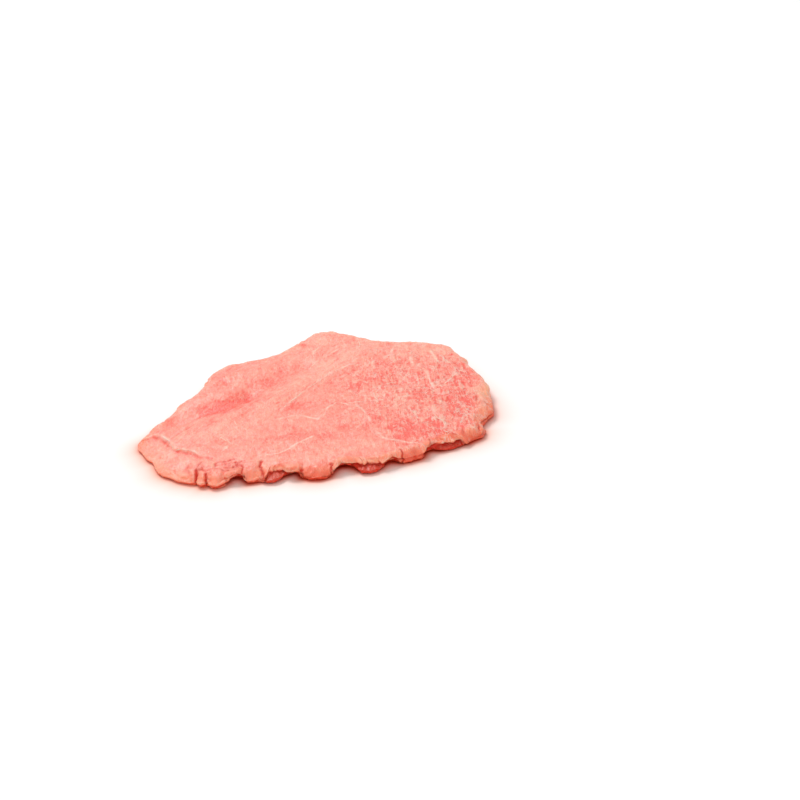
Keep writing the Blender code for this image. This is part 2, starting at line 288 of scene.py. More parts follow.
class Rim:
    """The place of every point against the outline: inset, way out, place along it, share of the height."""

    def __init__(self, points):
        offset = points[:, :2] - MIDDLE
        turn = np.arctan2(offset[:, 1], offset[:, 0])
        reach = np.hypot(offset[:, 0], offset[:, 1])
        turns = (np.arange(DIRECTIONS) + 0.5) / DIRECTIONS * 2 * np.pi - np.pi

        def read(values):
            return np.interp(turn, turns, values, period=2 * np.pi)

        far = soften(largest_by_direction(turn, reach), OUTLINE_ROUNDS)
        outline = MIDDLE + far[:, None] * np.stack([np.cos(turns), np.sin(turns)], axis=1)
        along = soften(np.roll(outline, -1, axis=0) - np.roll(outline, 1, axis=0), OUTLINE_ROUNDS)
        steps = np.linalg.norm(along, axis=1)
        out = np.stack([along[:, 1], -along[:, 0]], axis=1) / steps[:, None]
        self.out = np.stack([read(out[:, 0]), read(out[:, 1])], axis=1)
        self.out /= np.linalg.norm(self.out, axis=1)[:, None]
        radial = offset / np.maximum(reach, 1e-9)[:, None]
        self.inset = (read(far) - reach) * (radial * self.out).sum(axis=1)
        self.along = read(np.cumsum(steps) / 2)
        near = self.inset < SHOULDER_INSET
        top = soften(largest_by_direction(turn[near], points[near, 2]), HEIGHT_ROUNDS)
        self.top = read(top)
        self.share = points[:, 2] / self.top
        self.length = steps.sum() / 2


rim = Rim(skin_points)
print("outline", round(1000 * rim.length), "mm long")

# %% [markdown]
# ## A finer front
# The front edge has creases and teeth half a millimetre wide, so its triangles are split once more. A
# side is split where it lies near the front edge, and a triangle with one or two split sides is divided
# to suit, so that no gap opens where the fine part ends.

# %% Split the front once more
FINE_INSET = 0.0075
FINE_Y = -0.022
LONG_SIDE = 0.00062


def split_some(points, triangles, chosen):
    """Splits the chosen sides in the middle, and each triangle into as many parts as that asks for."""
    ends, numbers, _ = sides_of(triangles)
    picked = chosen(*points[ends.T])
    middle_of = np.where(picked, len(points) + np.cumsum(picked) - 1, -1)
    middles = middle_of[numbers]
    count = (middles >= 0).sum(axis=1)
    parts = [triangles[count == 0]]
    a, b, c = triangles[count == 3].T
    ab, bc, ca = middles[count == 3].T
    parts += [np.stack(one, axis=1) for one in ((a, ab, ca), (b, bc, ab), (c, ca, bc), (ab, bc, ca))]
    for turn in range(3):
        corners, halves = np.roll(triangles, -turn, axis=1), np.roll(middles, -turn, axis=1)
        one = (count == 1) & (halves[:, 0] >= 0)
        two = (count == 2) & (halves[:, 0] < 0)
        (a, b, c), ab = corners[one].T, halves[one, 0]
        parts += [np.stack((a, ab, c), axis=1), np.stack((ab, b, c), axis=1)]
        (a, b, c), (_, bc, ca) = corners[two].T, halves[two].T
        parts += [np.stack((a, b, bc), axis=1), np.stack((a, bc, ca), axis=1), np.stack((c, ca, bc), axis=1)]
    return np.vstack([points, points[ends[picked]].mean(axis=1)]), np.concatenate(parts)


def near_front(starts, ends):
    """The long sides near the front edge."""
    middles = (starts + ends) / 2
    length = np.linalg.norm(ends - starts, axis=1)
    return (Rim(middles).inset < FINE_INSET) & (middles[:, 1] < FINE_Y) & (length > LONG_SIDE)


skin_points, skin_triangles = split_some(skin_points, skin_triangles, near_front)
rim = Rim(skin_points)
print("skin with a fine front:", len(skin_points), "points,", len(skin_triangles), "triangles")

# %% [markdown]
# ## The front sinks to the table
# A beaten slice gets thin at its front, and there it hangs down to the table in soft folds. Where the
# top layer is torn, it stops short, and the darker layer below it sticks out as a lobe; in between the
# edge arches up from the table. Two lists name these forms, from the left end to the right one: first the
# rim with its layers, then the arches.

# %% List the forms of the front rim
# x, height of the lower layer, height of the rim, width of the slope, how far the top layer is drawn back.
FRONT_RIM = np.array([
    (-90.0, 0.0, 1.3, 13.0, 0.0),
    (-80.0, 0.0, 1.5, 14.0, 0.0),
    (-70.0, 0.0, 1.8, 15.0, 0.0),
    (-62.0, 0.0, 1.8, 14.0, 0.0),
    (-56.5, 0.0, 2.0, 12.0, 0.0),
    (-54.0, 0.0, 2.5, 10.0, 0.0),
    (-46.0, 0.0, 2.8, 11.0, 0.0),
    (-43.0, 0.2, 3.0, 9.0, 0.0),
    (-40.5, 2.8, 4.0, 8.0, 0.5),
    (-35.0, 2.8, 4.0, 9.0, 0.5),
    (-32.0, 0.2, 2.4, 10.0, 0.0),
    (-27.0, 0.2, 2.4, 9.0, 0.0),
    (-25.2, 1.2, 3.0, 8.0, 0.4),
    (-22.5, 3.6, 5.0, 7.0, 3.8),
    (-15.0, 3.6, 4.9, 7.0, 3.5),
    (-12.0, 2.8, 4.2, 7.0, 1.0),
    (-8.5, 2.4, 3.8, 8.0, 0.4),
    (-5.5, 0.2, 2.2, 10.0, 0.0),
    (6.0, 0.2, 2.4, 10.0, 0.0),
    (9.0, 2.9, 4.2, 7.0, 0.6),
    (15.5, 2.9, 4.4, 6.0, 1.2),
    (19.0, 3.2, 4.9, 6.0, 2.8),
    (30.0, 3.2, 4.9, 6.0, 2.8),
    (33.5, 2.9, 4.4, 6.0, 1.6),
    (38.0, 2.9, 4.2, 6.0, 1.2),
    (41.0, 0.6, 3.4, 7.0, 0.8),
    (48.5, 0.6, 3.4, 7.0, 0.8),
    (51.5, 2.7, 4.6, 6.0, 1.8),
    (58.0, 3.0, 4.8, 5.0, 2.6),
    (68.5, 3.0, 4.8, 5.0, 2.4),
    (71.5, 0.6, 2.8, 6.0, 0.3),
    (76.5, 0.6, 2.8, 6.0, 0.3),
    (79.5, 1.6, 4.2, 7.0, 0.4),
    (90.0, 1.2, 4.0, 8.0, 0.2),
]) * (1, MM, MM, MM, MM)
# Where the edge arches up from the table: x, half width, how much higher the lip is than in the solid.
ARCHES = (
    (-37.2, 3.8, 1.5),
    (-9.8, 3.2, 1.2),
    (12.6, 4.2, 1.6),
    (35.6, 3.2, 1.4),
    (53.6, 2.8, 1.0),
)
print("front rim:", len(FRONT_RIM), "places and", len(ARCHES), "arches")

# %% [markdown]
# ## Noise that makes things uneven
# Lists alone would give clean curves. Soft noise shifts what they name and varies its size. It depends on
# the place and a seed alone, so the slice comes out the same every time.

# %% Make seeded noise
NOISE_GAIN = 1.6  # brings plain noise to about -1 to 1
SEED_SHIFT = np.array([17.3, 5.9, 11.1])
WAVER = 0.7  # how far the forms of the front are shifted sideways, in millimetres
ZIGZAG = ((0.50, (0.0042, 0.02, 1), 3), (0.20, (0.0018, 0.02, 1), 4))


def patches(places, size, seed):
    """Soft seeded noise from about -1 to 1, with patches of that size."""
    cells = np.asarray(places) / np.asarray(size, dtype=float) + SEED_SHIFT * seed
    return np.array([noise.noise(cell) for cell in cells.tolist()]) * NOISE_GAIN


def noise_sum(places, parts, start=0.0):
    """Start plus several noises, each given as its strength, the size of its patches and its seed."""
    return sum((strength * patches(places, size, seed) for strength, size, seed in parts), start)


x, y, z = skin_points.T
ribbon = np.stack([rim.along, z, np.zeros_like(z)], axis=1)
waver = WAVER * patches(np.stack([rim.along, 0 * z, 0 * z], axis=1), (0.0035, 1, 1), 2)
zigzag = noise_sum(ribbon, ZIGZAG, start=1.0)
print("the front's forms are shifted by", round(float(np.abs(waver).max()), 2), "mm at most")

# %% [markdown]
# ## Sinking and drawing back
# All that lies above the lower layer is pressed together, most at the rim, so the top slopes down to it.
# Then the top layer is drawn back over the lobes, and an arch is hollowed from below. Where there is no
# lower layer, the wall is filled out to a soft round edge that meets the table.

# %% Sink the front rim
FRONT_Y = (-0.006, -0.020)
ARCH_REACH = (0.0075, 0.0010)
ARCH_DEPTH = 0.0042
SET_BACK_REACH = 0.011
LAYER_STARTS = 0.0004  # the top layer is whole this high above the lower one
SHOULDER = 0.0018  # the lower layer is rounded off over this much of its height
FILL_LAYER = (0.0012, 0.0002)
FILL_INSET = (0.006, 0.0035)
FILL_SHARE = (0.88, 0.62)
FOOT_OUT = 0.0003
FOOT_ROUNDING = 0.0012
LIP_SHARE = 0.68

front = ramp(y, *FRONT_Y)
layer, rim_height, slope, set_back = (
    np.interp(x / MM + waver, FRONT_RIM[:, 0], FRONT_RIM[:, column]) for column in range(1, 5)
)
inset = np.maximum(rim.inset, 0.0)
upper = ramp(z, layer - 0.0003, layer + LAYER_STARTS)
kept = (rim_height - layer) / np.maximum(rim.top - layer, MM)
kept = kept + (1 - kept) * np.sin(np.pi / 2 * np.clip(inset / slope, 0, 1))
sunk = np.where(z > layer, layer + (z - layer) * np.minimum(kept, 1.0), z)
arch = np.zeros(len(x))
arch_rise = np.zeros(len(x))
for arch_x, half_width, rise in ARCHES:
    here = bell(x / MM + waver - arch_x, half_width)
    arch = np.maximum(arch, here)
    arch_rise = np.maximum(arch_rise, rise * MM * here)
sunk_points = skin_points.copy()
sunk_points[:, 2] = z + front * (sunk - z)
raised = front * arch_rise * ramp(inset, *ARCH_REACH) * ramp(z, layer - 0.0006, layer + 0.0002)
sunk_points[:, 2] += raised * (layer > 0.0005)
near_rim = ramp(inset, SET_BACK_REACH, 0.0)
shoulder = ramp(z, layer - SHOULDER, layer + LAYER_STARTS)
drawn = front * set_back * zigzag * shoulder * near_rim
drawn += front * ARCH_DEPTH * arch * (1 - upper) * near_rim * ramp(layer, 0.001, 0.002)
wall = front * ramp(layer, *FILL_LAYER) * ramp(inset, *FILL_INSET) * ramp(rim.share, *FILL_SHARE)
foot_inset = FOOT_OUT + FOOT_ROUNDING * np.clip(1 - rim.share / LIP_SHARE, 0, 1) ** 2
sunk_points[:, :2] += rim.out * (wall * (rim.inset - foot_inset) - drawn)[:, None]
print("front rim sunk by up to", round(1000 * float((z - sunk_points[:, 2]).max()), 2), "mm")

# %% [markdown]
# ## Torn edge
# The mallet drives the thin front edge apart: the skin of the top ends in a ragged lip, and below it
# softer lumps of darker flesh stick out, split by clefts. Creases run up into the slope, and between
# them the flesh swells. Each is named by its place, because they give the edge its character.

# %% List creases, pits and swellings
# Creases and clefts: their path in millimetres, depth, half width, and how much dark red painted shade they
# get inside.
CREASES = (
    (((-60.5, -54), (-61.2, -58), (-60.3, -62)), 0.35, 0.7, 0.20),
    (((-66.8, -55), (-66.0, -61)), 0.30, 0.7, 0.10),
    (((-54.0, -57.0), (-54.9, -60.5), (-56.0, -63)), 0.50, 0.6, 0.55),
    (((-56.0, -63), (-55.6, -67), (-55.4, -73)), 1.20, 0.6, 0.85),
    (((-51.6, -66.5), (-50.8, -69), (-50.6, -75)), 1.20, 0.5, 0.90),
    (((-54.9, -64.0), (-52.8, -63.2), (-50.9, -65.2)), 0.45, 0.6, 0.40),
    (((-50.2, -64.5), (-47, -63.4), (-44.5, -65)), 0.40, 0.6, 0.30),
    (((-47, -60.8), (-42.5, -58.4), (-38.5, -57.0)), 0.40, 0.5, 0.55),
    (((-38.0, -60.0), (-36.0, -63.5), (-33.4, -66.0), (-33.6, -71)), 0.60, 0.6, 0.60),
    (((-25.2, -62), (-25.6, -66), (-24.8, -74)), 0.60, 0.5, 0.65),
    (((-6.8, -71), (-6.2, -78)), 0.8, 0.6, 0.60),
    (((-1.5, -71), (-1.0, -78)), 0.30, 0.8, 0.10),
    (((7.2, -70), (7.6, -76)), 0.9, 0.6, 0.70),
    (((39.9, -65), (40.2, -66), (40.6, -71)), 0.8, 0.5, 0.70),
    (((45.5, -64), (45.8, -68)), 0.4, 0.7, 0.25),
    (((54.6, -58.5), (55.2, -61), (55.0, -65)), 0.7, 0.6, 0.60),
    (((71.2, -51), (71.0, -56)), 0.3, 0.6, 0.35),
    (((78.2, -45), (79.0, -50)), 0.4, 0.5, 0.35),
    (((79.5, -25.6), (81.5, -24.6), (85, -24.4)), 0.35, 0.6, 0.30),
    (((80.0, -10), (78.8, -16), (79.0, -22)), 0.45, 0.7, 0.40),
)
# Small pits, painted dark red inside as shade: x, y, half length, half width, direction in degrees, depth.
PITS = (
    (-43.0, -66.5, 0.9, 0.8, 0, 0.45),
    (-40.2, -66.8, 1.0, 0.7, 40, 0.50),
    (-37.6, -64.2, 1.3, 0.7, 130, 0.55),
    (-41.0, -63.6, 0.9, 0.6, 20, 0.30),
    (-35.4, -61.6, 1.0, 0.6, 120, 0.35),
    (-47.5, -62.0, 0.9, 0.6, 30, 0.25),
    (-29.5, -59.5, 1.0, 0.6, 60, 0.20),
)
# Swellings between them: x, y, half length, half width, direction in degrees, height.
SWELLINGS = (
    (-79, -36, 5, 3, 125, 0.30),
    (-70.5, -55, 3.5, 2.5, 130, 0.45),
    (-64, -60, 3.5, 3.0, 100, 0.40),
    (-58, -64, 3.0, 3.5, 100, 0.45),
    (-52.8, -67.5, 1.8, 4.5, 0, 0.60),
    (-46.3, -68, 3.6, 4.5, 0, 0.75),
    (-38, -62, 4, 2.0, 0, 0.35),
    (-29.2, -65.5, 3.2, 6.0, 0, 0.90),
    (-19, -74.5, 3.5, 3.0, 0, 0.40),
    (-3.5, -73, 3.0, 3.5, 0, 0.35),
    (1.8, -72.5, 3.0, 3.5, 0, 0.40),
    (24, -72, 5, 3, 0, 0.40),
    (45, -66, 4, 3, 10, 0.60),
    (74.5, -50, 2.6, 4.0, 40, 0.60),
    (81.5, -16, 2.6, 7, 0, 0.50),
)
print("edge:", len(CREASES), "creases,", len(PITS), "pits,", len(SWELLINGS), "swellings")

# %% [markdown]
# ## From lists to heights
# A crease follows a path of a few places, so its depth is a bell over the distance to that path. A pit or
# a swelling is an oval that is turned to its direction. Both are then pushed along the surface's own
# normal, so that they work on the slope as well as on the wall of the edge.

# %% Measure distances, spots and normals
def distance_to(places, path):
    """Distance in plan from each place to a chain of straight stretches."""
    nearest = np.full(len(places), np.inf)
    path = np.array(path)
    for start, end in zip(path[:-1], path[1:]):
        stretch = end - start
        share = np.clip(((places - start) @ stretch) / (stretch @ stretch), 0.0, 1.0)
        gap = places - start - share[:, None] * stretch
        nearest = np.minimum(nearest, np.hypot(gap[:, 0], gap[:, 1]))
    return nearest


def along_grain(places, angle):
    """The places with their first coordinate turned to run along the grain."""
    turned = places.copy()
    turned[:, 0] = places[:, 0] * math.cos(angle) + places[:, 1] * math.sin(angle)
    turned[:, 1] = places[:, 1] * math.cos(angle) - places[:, 0] * math.sin(angle)
    return turned


def spots(places, table):
    """Sum of soft oval spots, each turned to its direction."""
    total = np.zeros(len(places))
    for middle_x, middle_y, half_length, half_width, degrees, strength in table:
        offset = np.column_stack([places / MM - (middle_x, middle_y), np.zeros(len(places))])
        turned = along_grain(offset, math.radians(degrees))
        total += strength * bell(np.hypot(turned[:, 0] / half_length, turned[:, 1] / half_width), 1.0)
    return total


def normals_of(points, triangles):
    """Unit normal at every point."""
    a, b, c = (points[triangles[:, corner]] for corner in range(3))
    facing = np.cross(b - a, c - a)
    total = np.zeros_like(points)
    for corner in range(3):
        np.add.at(total, triangles[:, corner], facing)
    return total / np.maximum(np.linalg.norm(total, axis=1), 1e-15)[:, None]


overhang = normals_of(sunk_points, skin_triangles)[:, 2] < 0
print("points of the sunk skin that face down:", int(overhang.sum()))

# %% [markdown]
# ## Tearing
# The creases are cut first, along paths that noise bends, and with a depth that varies. Then come the
# lumps of the whole front, the wrinkles of its wall and the teeth of the lip. The push is kept as one
# number for each point, because the rear edge adds its own share to it.

# %% Tear the front edge
# Noise for each form: strength, size of its patches, seed.
LUMPS = ((0.00026, 0.0048, 7), (0.00014, 0.0021, 8))
WRINKLES = ((0.00022, (0.0022, 0.0035, 1), 5), (0.00014, (0.0010, 0.0022, 1), 6))
TEETH = ((0.00045, (0.0028, 0.010, 1), 13), (0.00014, (0.0012, 0.010, 1), 14))
TORN_LAYER = (0.0008, 0.0022)
LUMPY_INSET = (0.0110, 0.0030)
LUMPY_X = (-0.066, -0.052)
LIP_INSET = (0.0060, 0.0025)
LIP_BAND = 0.10
WALL_SHARE = (0.95, 0.60)
# The dark red inside pits and clefts is painted shade.
PIT_SHADE = 1.6
SHADE_REACH = 1.3  # how much wider a cleft's red is than the cleft


def drift(places, size, seeds):
    """Noise in two directions at once, to shift places with."""
    return np.stack([patches(places, size, seed) for seed in seeds], axis=1)


plan = skin_points[:, :2]
torn = ramp(layer, *TORN_LAYER) * front
soft_front = front * ramp(inset, *LUMPY_INSET)
sway = 0.9 * drift(skin_points, 0.0045, (9, 10)) + 0.35 * drift(skin_points, 0.0016, (15, 16))
swayed = plan / MM + sway
uneven = np.clip(1.0 + 0.6 * patches(skin_points, 0.0034, 17), 0.2, 1.6)
cut = spots(swayed * MM, PITS)
# Painted shade: dark red inside pits, then inside creases and clefts.
cleft_shade = PIT_SHADE * cut
for path, depth, half_width, red in CREASES:
    gap = distance_to(swayed, path)
    cut = np.maximum(cut, depth * uneven * bell(gap, half_width))
    cleft_shade = np.maximum(cleft_shade, red * bell(gap, half_width * SHADE_REACH))
lumps = noise_sum(skin_points, LUMPS) * (ramp(x, *LUMPY_X) * 0.6 + 0.4)
wrinkled = (0.3 + 0.7 * torn) * ramp(rim.share, *WALL_SHARE) * soft_front
lip = bell(rim.share - LIP_SHARE, LIP_BAND) * torn * ramp(inset, *LIP_INSET)
push = front * (MM * spots(plan, SWELLINGS) - MM * cut) * ramp(rim.share, 0.02, 0.3)
push += soft_front * lumps + wrinkled * noise_sum(ribbon, WRINKLES)
push += lip * noise_sum(ribbon, TEETH)
print("front edge moved by up to", round(1000 * float(np.abs(push).max()), 2), "mm")

# %% [markdown]
# ## The rear edge
# The rear edge is cut, not torn: it bulges unevenly and shows the layers of the muscle. Its top edge is
# rounded off, more in some places than in others, and its foot is tucked in. At the right it is
# calmer, where the flesh was beaten most. The pushes of front and rear are done here at once.

# %% Round the rear edge
# Noise for each form: strength, size of its patches, seed.
BULGES = ((0.00075, 0.0085, 25), (0.00038, 0.0032, 26))
LAYERS = ((1.0, (0.0110, 0.0011, 1), 23), (0.6, (0.0045, 0.0024, 1), 24))
LAYER_DEPTH = 0.00034
LAYER_SHARE = (0.97, 0.80)
BULGE_INSET = (0.0060, 0.0010)
CALM_X = (0.030, 0.060)
TOP_ROUNDING = 0.0017
TOP_INSET = (0.0052, 0.0)
TOP_SHARE = (0.35, 1.0)
TOP_POWER = 1.6
FOOT_TUCK = 0.0009
TUCK_INSET = (0.0080, 0.0020)
TUCK_SHARE = (0.42, 0.0)
ABOVE_TABLE = 0.0008  # what lies lower than this is pushed less, so that the foot stays where it is

rear = (1 - front) * ramp(inset, *BULGE_INSET) * (1 - 0.55 * ramp(x, *CALM_X))
layers = noise_sum(ribbon, LAYERS)
push += rear * noise_sum(skin_points, BULGES)
push += rear * ramp(rim.share, *LAYER_SHARE) * LAYER_DEPTH * layers
push *= ramp(z, 0.0, ABOVE_TABLE)
torn_points = sunk_points + push[:, None] * normals_of(sunk_points, skin_triangles)
rounding = np.clip(1.0 + 0.5 * patches(ribbon, (0.013, 0.02, 1), 27), 0.4, 1.6)
rear_top = (1 - front) * ramp(rim.inset, *TOP_INSET) ** TOP_POWER * ramp(rim.share, *TOP_SHARE)
torn_points[:, 2] -= TOP_ROUNDING * rounding * rear_top
tucked = (1 - front) * ramp(rim.share, *TUCK_SHARE) * ramp(rim.inset, *TUCK_INSET)
torn_points[:, :2] -= FOOT_TUCK * (rounding * tucked)[:, None] * rim.out
torn_points[:, 2] = np.maximum(torn_points[:, 2], np.minimum(z, 0.0))
cut_off = TOP_ROUNDING * float((rounding * rear_top).max())
print("rear edge rounded off by up to", round(1000 * cut_off, 2), "mm")

# %% [markdown]
# ## Beaten top
# The top shows bundles of fibres, small soft lumps and the faint dents of the mallet. A height that is
# added straight up does this well, because the slice is almost level: noise that is stretched along
# the grain makes the bundles, and round noise the lumps. Two muscles meet in this slice, a smooth one
# along the middle ridge and a grainy one at the right, so each has its own direction. What would rise
# past the solid's box is pressed back softly.

# %% Raise fibres and lumps
RIDGE_GRAIN = math.radians(48)
REAR_GRAIN = math.radians(94)
RIDGE_LINE = ((-0.062, -0.026), (-0.030, -0.006), (0.000, 0.016), (0.018, 0.036))
RIDGE_WIDTH = 0.015
GRAINY_X = (-0.005, 0.045)
CALM_REAR_Y = (0.008, 0.040)
# Bundles of fibres and waves: length, width and depth of one, then its seed.
RIDGE_BUNDLES = ((0.014, 0.0019, 0.01), 13)
REAR_BUNDLES = ((0.0085, 0.0016, 0.01), 14)
WAVES = ((0.022, 0.011, 0.02), 18)
GRAIN_BEND = 0.0022
WAVE_HEIGHT = 0.00030
SWELL_HEIGHT = 0.00020
FINE_HEIGHT = 0.00008
LEVEL_SHARE = (0.80, 0.97)
LEVEL_INSET = (0.0004, 0.0030)
HEADROOM = 0.0006
CEILING_SOFTNESS = 0.0009

ridge = bell(distance_to(plan, RIDGE_LINE), RIDGE_WIDTH)
grainy = ramp(x + 0.35 * y, *GRAINY_X) * (1 - 0.6 * ridge)
grainy *= 1 - 0.5 * ramp(y, *CALM_REAR_Y)
bent = skin_points + GRAIN_BEND * np.column_stack([drift(skin_points, 0.018, (11, 12)), 0 * x])
fibres = ridge * patches(along_grain(bent, RIDGE_GRAIN), *RIDGE_BUNDLES)
fibres += (1 - ridge) * patches(along_grain(bent, REAR_GRAIN), *REAR_BUNDLES)
beads = patches(skin_points, 0.0028, 15)
pebbles = patches(skin_points, 0.0017, 16)
swells = patches(skin_points, 0.0075, 17)
waves = patches(along_grain(bent, RIDGE_GRAIN), *WAVES)
level = ramp(rim.share, *LEVEL_SHARE) * ramp(rim.inset, *LEVEL_INSET)
lift = WAVE_HEIGHT * waves + SWELL_HEIGHT * swells + FINE_HEIGHT * fibres + FINE_HEIGHT * beads
lift += 0.00005 * pebbles
lift += grainy * (FINE_HEIGHT * fibres + FINE_HEIGHT * beads + 0.00006 * pebbles)
beaten_points = torn_points.copy()
beaten_points[:, 2] += level * lift
above = np.maximum(beaten_points[:, 2] - (cad_high[2] - HEADROOM), 0.0)
beaten_points[:, 2] -= above - CEILING_SOFTNESS * (1 - np.exp(-above / CEILING_SOFTNESS))
print("fine relief from", round(1000 * lift.min(), 2), "to", round(1000 * lift.max(), 2), "mm")

# %% [markdown]
# ## Threads and the lip line
# Long pale threads of fat and sinew run through the top, each along its own path. Round the left end the
# top layer stops at a thin pale line, and a smooth band slopes down from it. Two creases lie near it.

# %% List threads and lines
# Each thread: its half width in millimetres, then the places that it passes, in millimetres.
THREADS = (
    (0.19, ((-84, -17), (-78.5, -17.7), (-74.8, -21), (-70.2, -29.2),
            (-67.7, -36.8), (-63.3, -40.2), (-58.5, -44.2), (-54.6, -48.4))),
    (0.22, ((-16.8, -13.3), (-12.9, -7.1), (-6.3, 2.7), (-4.1, 5.0))),
    (0.14, ((-4.1, 5.0), (3.1, 13.5), (8.1, 20.5), (12, 23), (19.1, 27))),
    (0.15, ((0.5, 36), (0.8, 47.7), (3.6, 53))),
    (0.14, ((8.5, 42.3), (13.2, 47.3))),
    (0.11, ((-16.7, -21.4), (-8, -19.6), (-1.5, -23), (1.4, -25.8), (2.8, -23.2))),
    (0.15, ((5, -22), (6.5, -15), (11, -10.2), (15, -11), (17.2, -14.5), (17.2, -19))),
    (0.13, ((16.4, -13.3), (20.3, -14.5), (23, -20.1), (26, -29), (27, -34.1))),
    (0.10, ((-22.7, -56.6), (-15.6, -55.4), (-9, -50), (-5, -47), (-1, -43.5))),
    (0.24, ((58, -3.4), (62, -4.5), (66, -1.2), (70, 5), (74.2, 12.9))),
    (0.16, ((56.3, 13.8), (57.8, 1.7), (59.4, -6.9))),
    (0.14, ((60, 35), (62, 26), (63.5, 20))),
    (0.16, ((18.7, -6.8), (22.9, -1.2), (29.3, 2.2), (35.7, 5.6), (42, 7.3), (49.5, 3.8))),
    (0.14, ((17.1, -11.2), (22.7, -11), (28.9, -10.8), (34.3, -12.1))),
    (0.16, ((30, -46.5), (32, -51), (36, -54), (42, -57), (48, -60))),
    (0.17, ((45, -23), (48, -28), (49.5, -35), (48.5, -41))),
    (0.18, ((42, -12), (46, -11.2), (51, -12.6))),
    (0.14, ((38, 28), (39.5, 33), (40.5, 39), (43, 46))),
    (0.20, ((23, 44), (24.5, 51), (23.5, 58))),
    (0.14, ((-42, -36), (-40.5, -42), (-44, -48))),
    (0.16, ((57, -30), (58.5, -36), (62, -42), (61.5, -48))),
    (0.16, ((69, -46), (70.5, -40), (72.5, -36))),
    (0.14, ((31, 12), (32, 20), (30, 27), (33, 33))),
    (0.14, ((50, 24), (49, 31), (52, 38))),
    (0.13, ((66, 16), (67, 22), (65.5, 29))),
)
LIP_LINE = (
    (-0.0835, -0.0170),
    (-0.0785, -0.0177),
    (-0.0748, -0.0210),
    (-0.0702, -0.0292),
    (-0.0677, -0.0368),
    (-0.0633, -0.0402),
    (-0.0585, -0.0442),
    (-0.0541, -0.0492),
    (-0.0480, -0.0525),
)
CREASE = ((-0.0690, -0.0262), (-0.0630, -0.0205), (-0.0590, -0.0160))
FRONT_CREASE = ((-0.0470, -0.0615), (-0.0400, -0.0600), (-0.0330, -0.0602))
# Each line: path, height of its ridge, half width.
LINES = (
    (LIP_LINE, 0.00022, 0.0007),
    (CREASE, -0.00045, 0.0008),
    (FRONT_CREASE, -0.00040, 0.0007),
)
print("threads:", len(THREADS), "lines:", len(LINES))

# %% [markdown]
# ## Pressing in the lines
# The lines are narrow, so they are pressed into the fine skin as small ridges and grooves that follow
# their paths. Outside the lip line the surface steps down, most of all right beside it. The threads get
# tubes of their own further down, and lift the skin only a little, in places.

# %% Press in the lines
BAND_STEP = 0.00055
BAND_REACH = 0.0060
BAND_END = ((-0.048, -0.110), (-0.110, -0.110), (-0.110, -0.017))
TOP_FACE = (0.5, 0.8)  # share of the height from which a point belongs to the top
VEIN_HEIGHT = 0.00010


def inside(places, polygon):
    """Even-odd test of each place against a closed polygon."""
    found = np.zeros(len(places), bool)
    for start, end in zip(polygon, np.roll(polygon, -1, axis=0)):
        if start[1] != end[1]:
            crosses = (start[1] > places[:, 1]) != (end[1] > places[:, 1])
            at = start[0] + (places[:, 1] - start[1]) * (end[0] - start[0]) / (end[1] - start[1])
            found ^= crosses & (places[:, 0] < at)
    return found


swayed_plan = plan + 0.35 * MM * sway
on_top = ramp(rim.share, *TOP_FACE)
lined_points = beaten_points.copy()
for path, rise, half_width in LINES:
    lined_points[:, 2] += rise * bell(distance_to(swayed_plan, path), half_width) * on_top
lip_gap = distance_to(swayed_plan, LIP_LINE)
in_band = inside(swayed_plan, np.array(LIP_LINE + BAND_END))
step_down = in_band * ramp(lip_gap, 0.0, 0.0008) * ramp(lip_gap, BAND_REACH, 0.0)
lined_points[:, 2] -= BAND_STEP * step_down * on_top
broken = np.clip(0.60 + 0.8 * patches(skin_points, 0.0042, 19), 0.0, 1.0)
vein = np.zeros(len(plan))
for half_width, path in THREADS:
    gap = distance_to(swayed_plan / MM, path)
    vein = np.maximum(vein, broken * bell(gap, 0.35 + 1.6 * half_width))
lined_points[:, 2] += VEIN_HEIGHT * vein * level
print("points in the band beside the lip line:", int(in_band.sum()))

# %% [markdown]
# ## Underside
# The slice lies on a face that was cut flat. It has wide shallow hollows and touches the table between
# them. The rim of the skin gives its outline, and a fresh grid of triangles fills it, closer than the
# solid's, so that the hollows are round.

# %% Fill the underside
UNDER_STEP = 0.0017
HOLLOWS = ((1.0, 0.013, 21), (0.35, 0.005, 22))
HOLLOW_DEPTH = 0.00045
HOLLOW_RIM = 0.004
MERGE = 1e-9


def rim_loop(triangles):
    """The points of the open rim, in order."""
    _, numbers, shared = sides_of(triangles)
    sides = np.concatenate([triangles[:, [0, 1]], triangles[:, [1, 2]], triangles[:, [2, 0]]])
    after = dict(sides[shared[numbers.T.ravel()] == 1].tolist())
    loop = [next(iter(after))]
    while after[loop[-1]] != loop[0]:
        loop.append(after[loop[-1]])
    return np.array(loop)


def grid_inside(polygon, step):
    """Points of a triangular grid inside the polygon, clear of its sides."""
    low, high = polygon.min(axis=0), polygon.max(axis=0)
    rows = []
    for row, level_y in enumerate(np.arange(low[1], high[1], step * math.sqrt(3) / 2)):
        row_x = np.arange(low[0] + (row % 2) * step / 2, high[0], step)
        rows.append(np.stack([row_x, np.full(len(row_x), level_y)], axis=1))
    grid = np.concatenate(rows)
    grid = grid[inside(grid, polygon)]
    clear = distance_to(grid, np.vstack([polygon[::4], polygon[:1]])) > 0.6 * step
    return grid[clear]


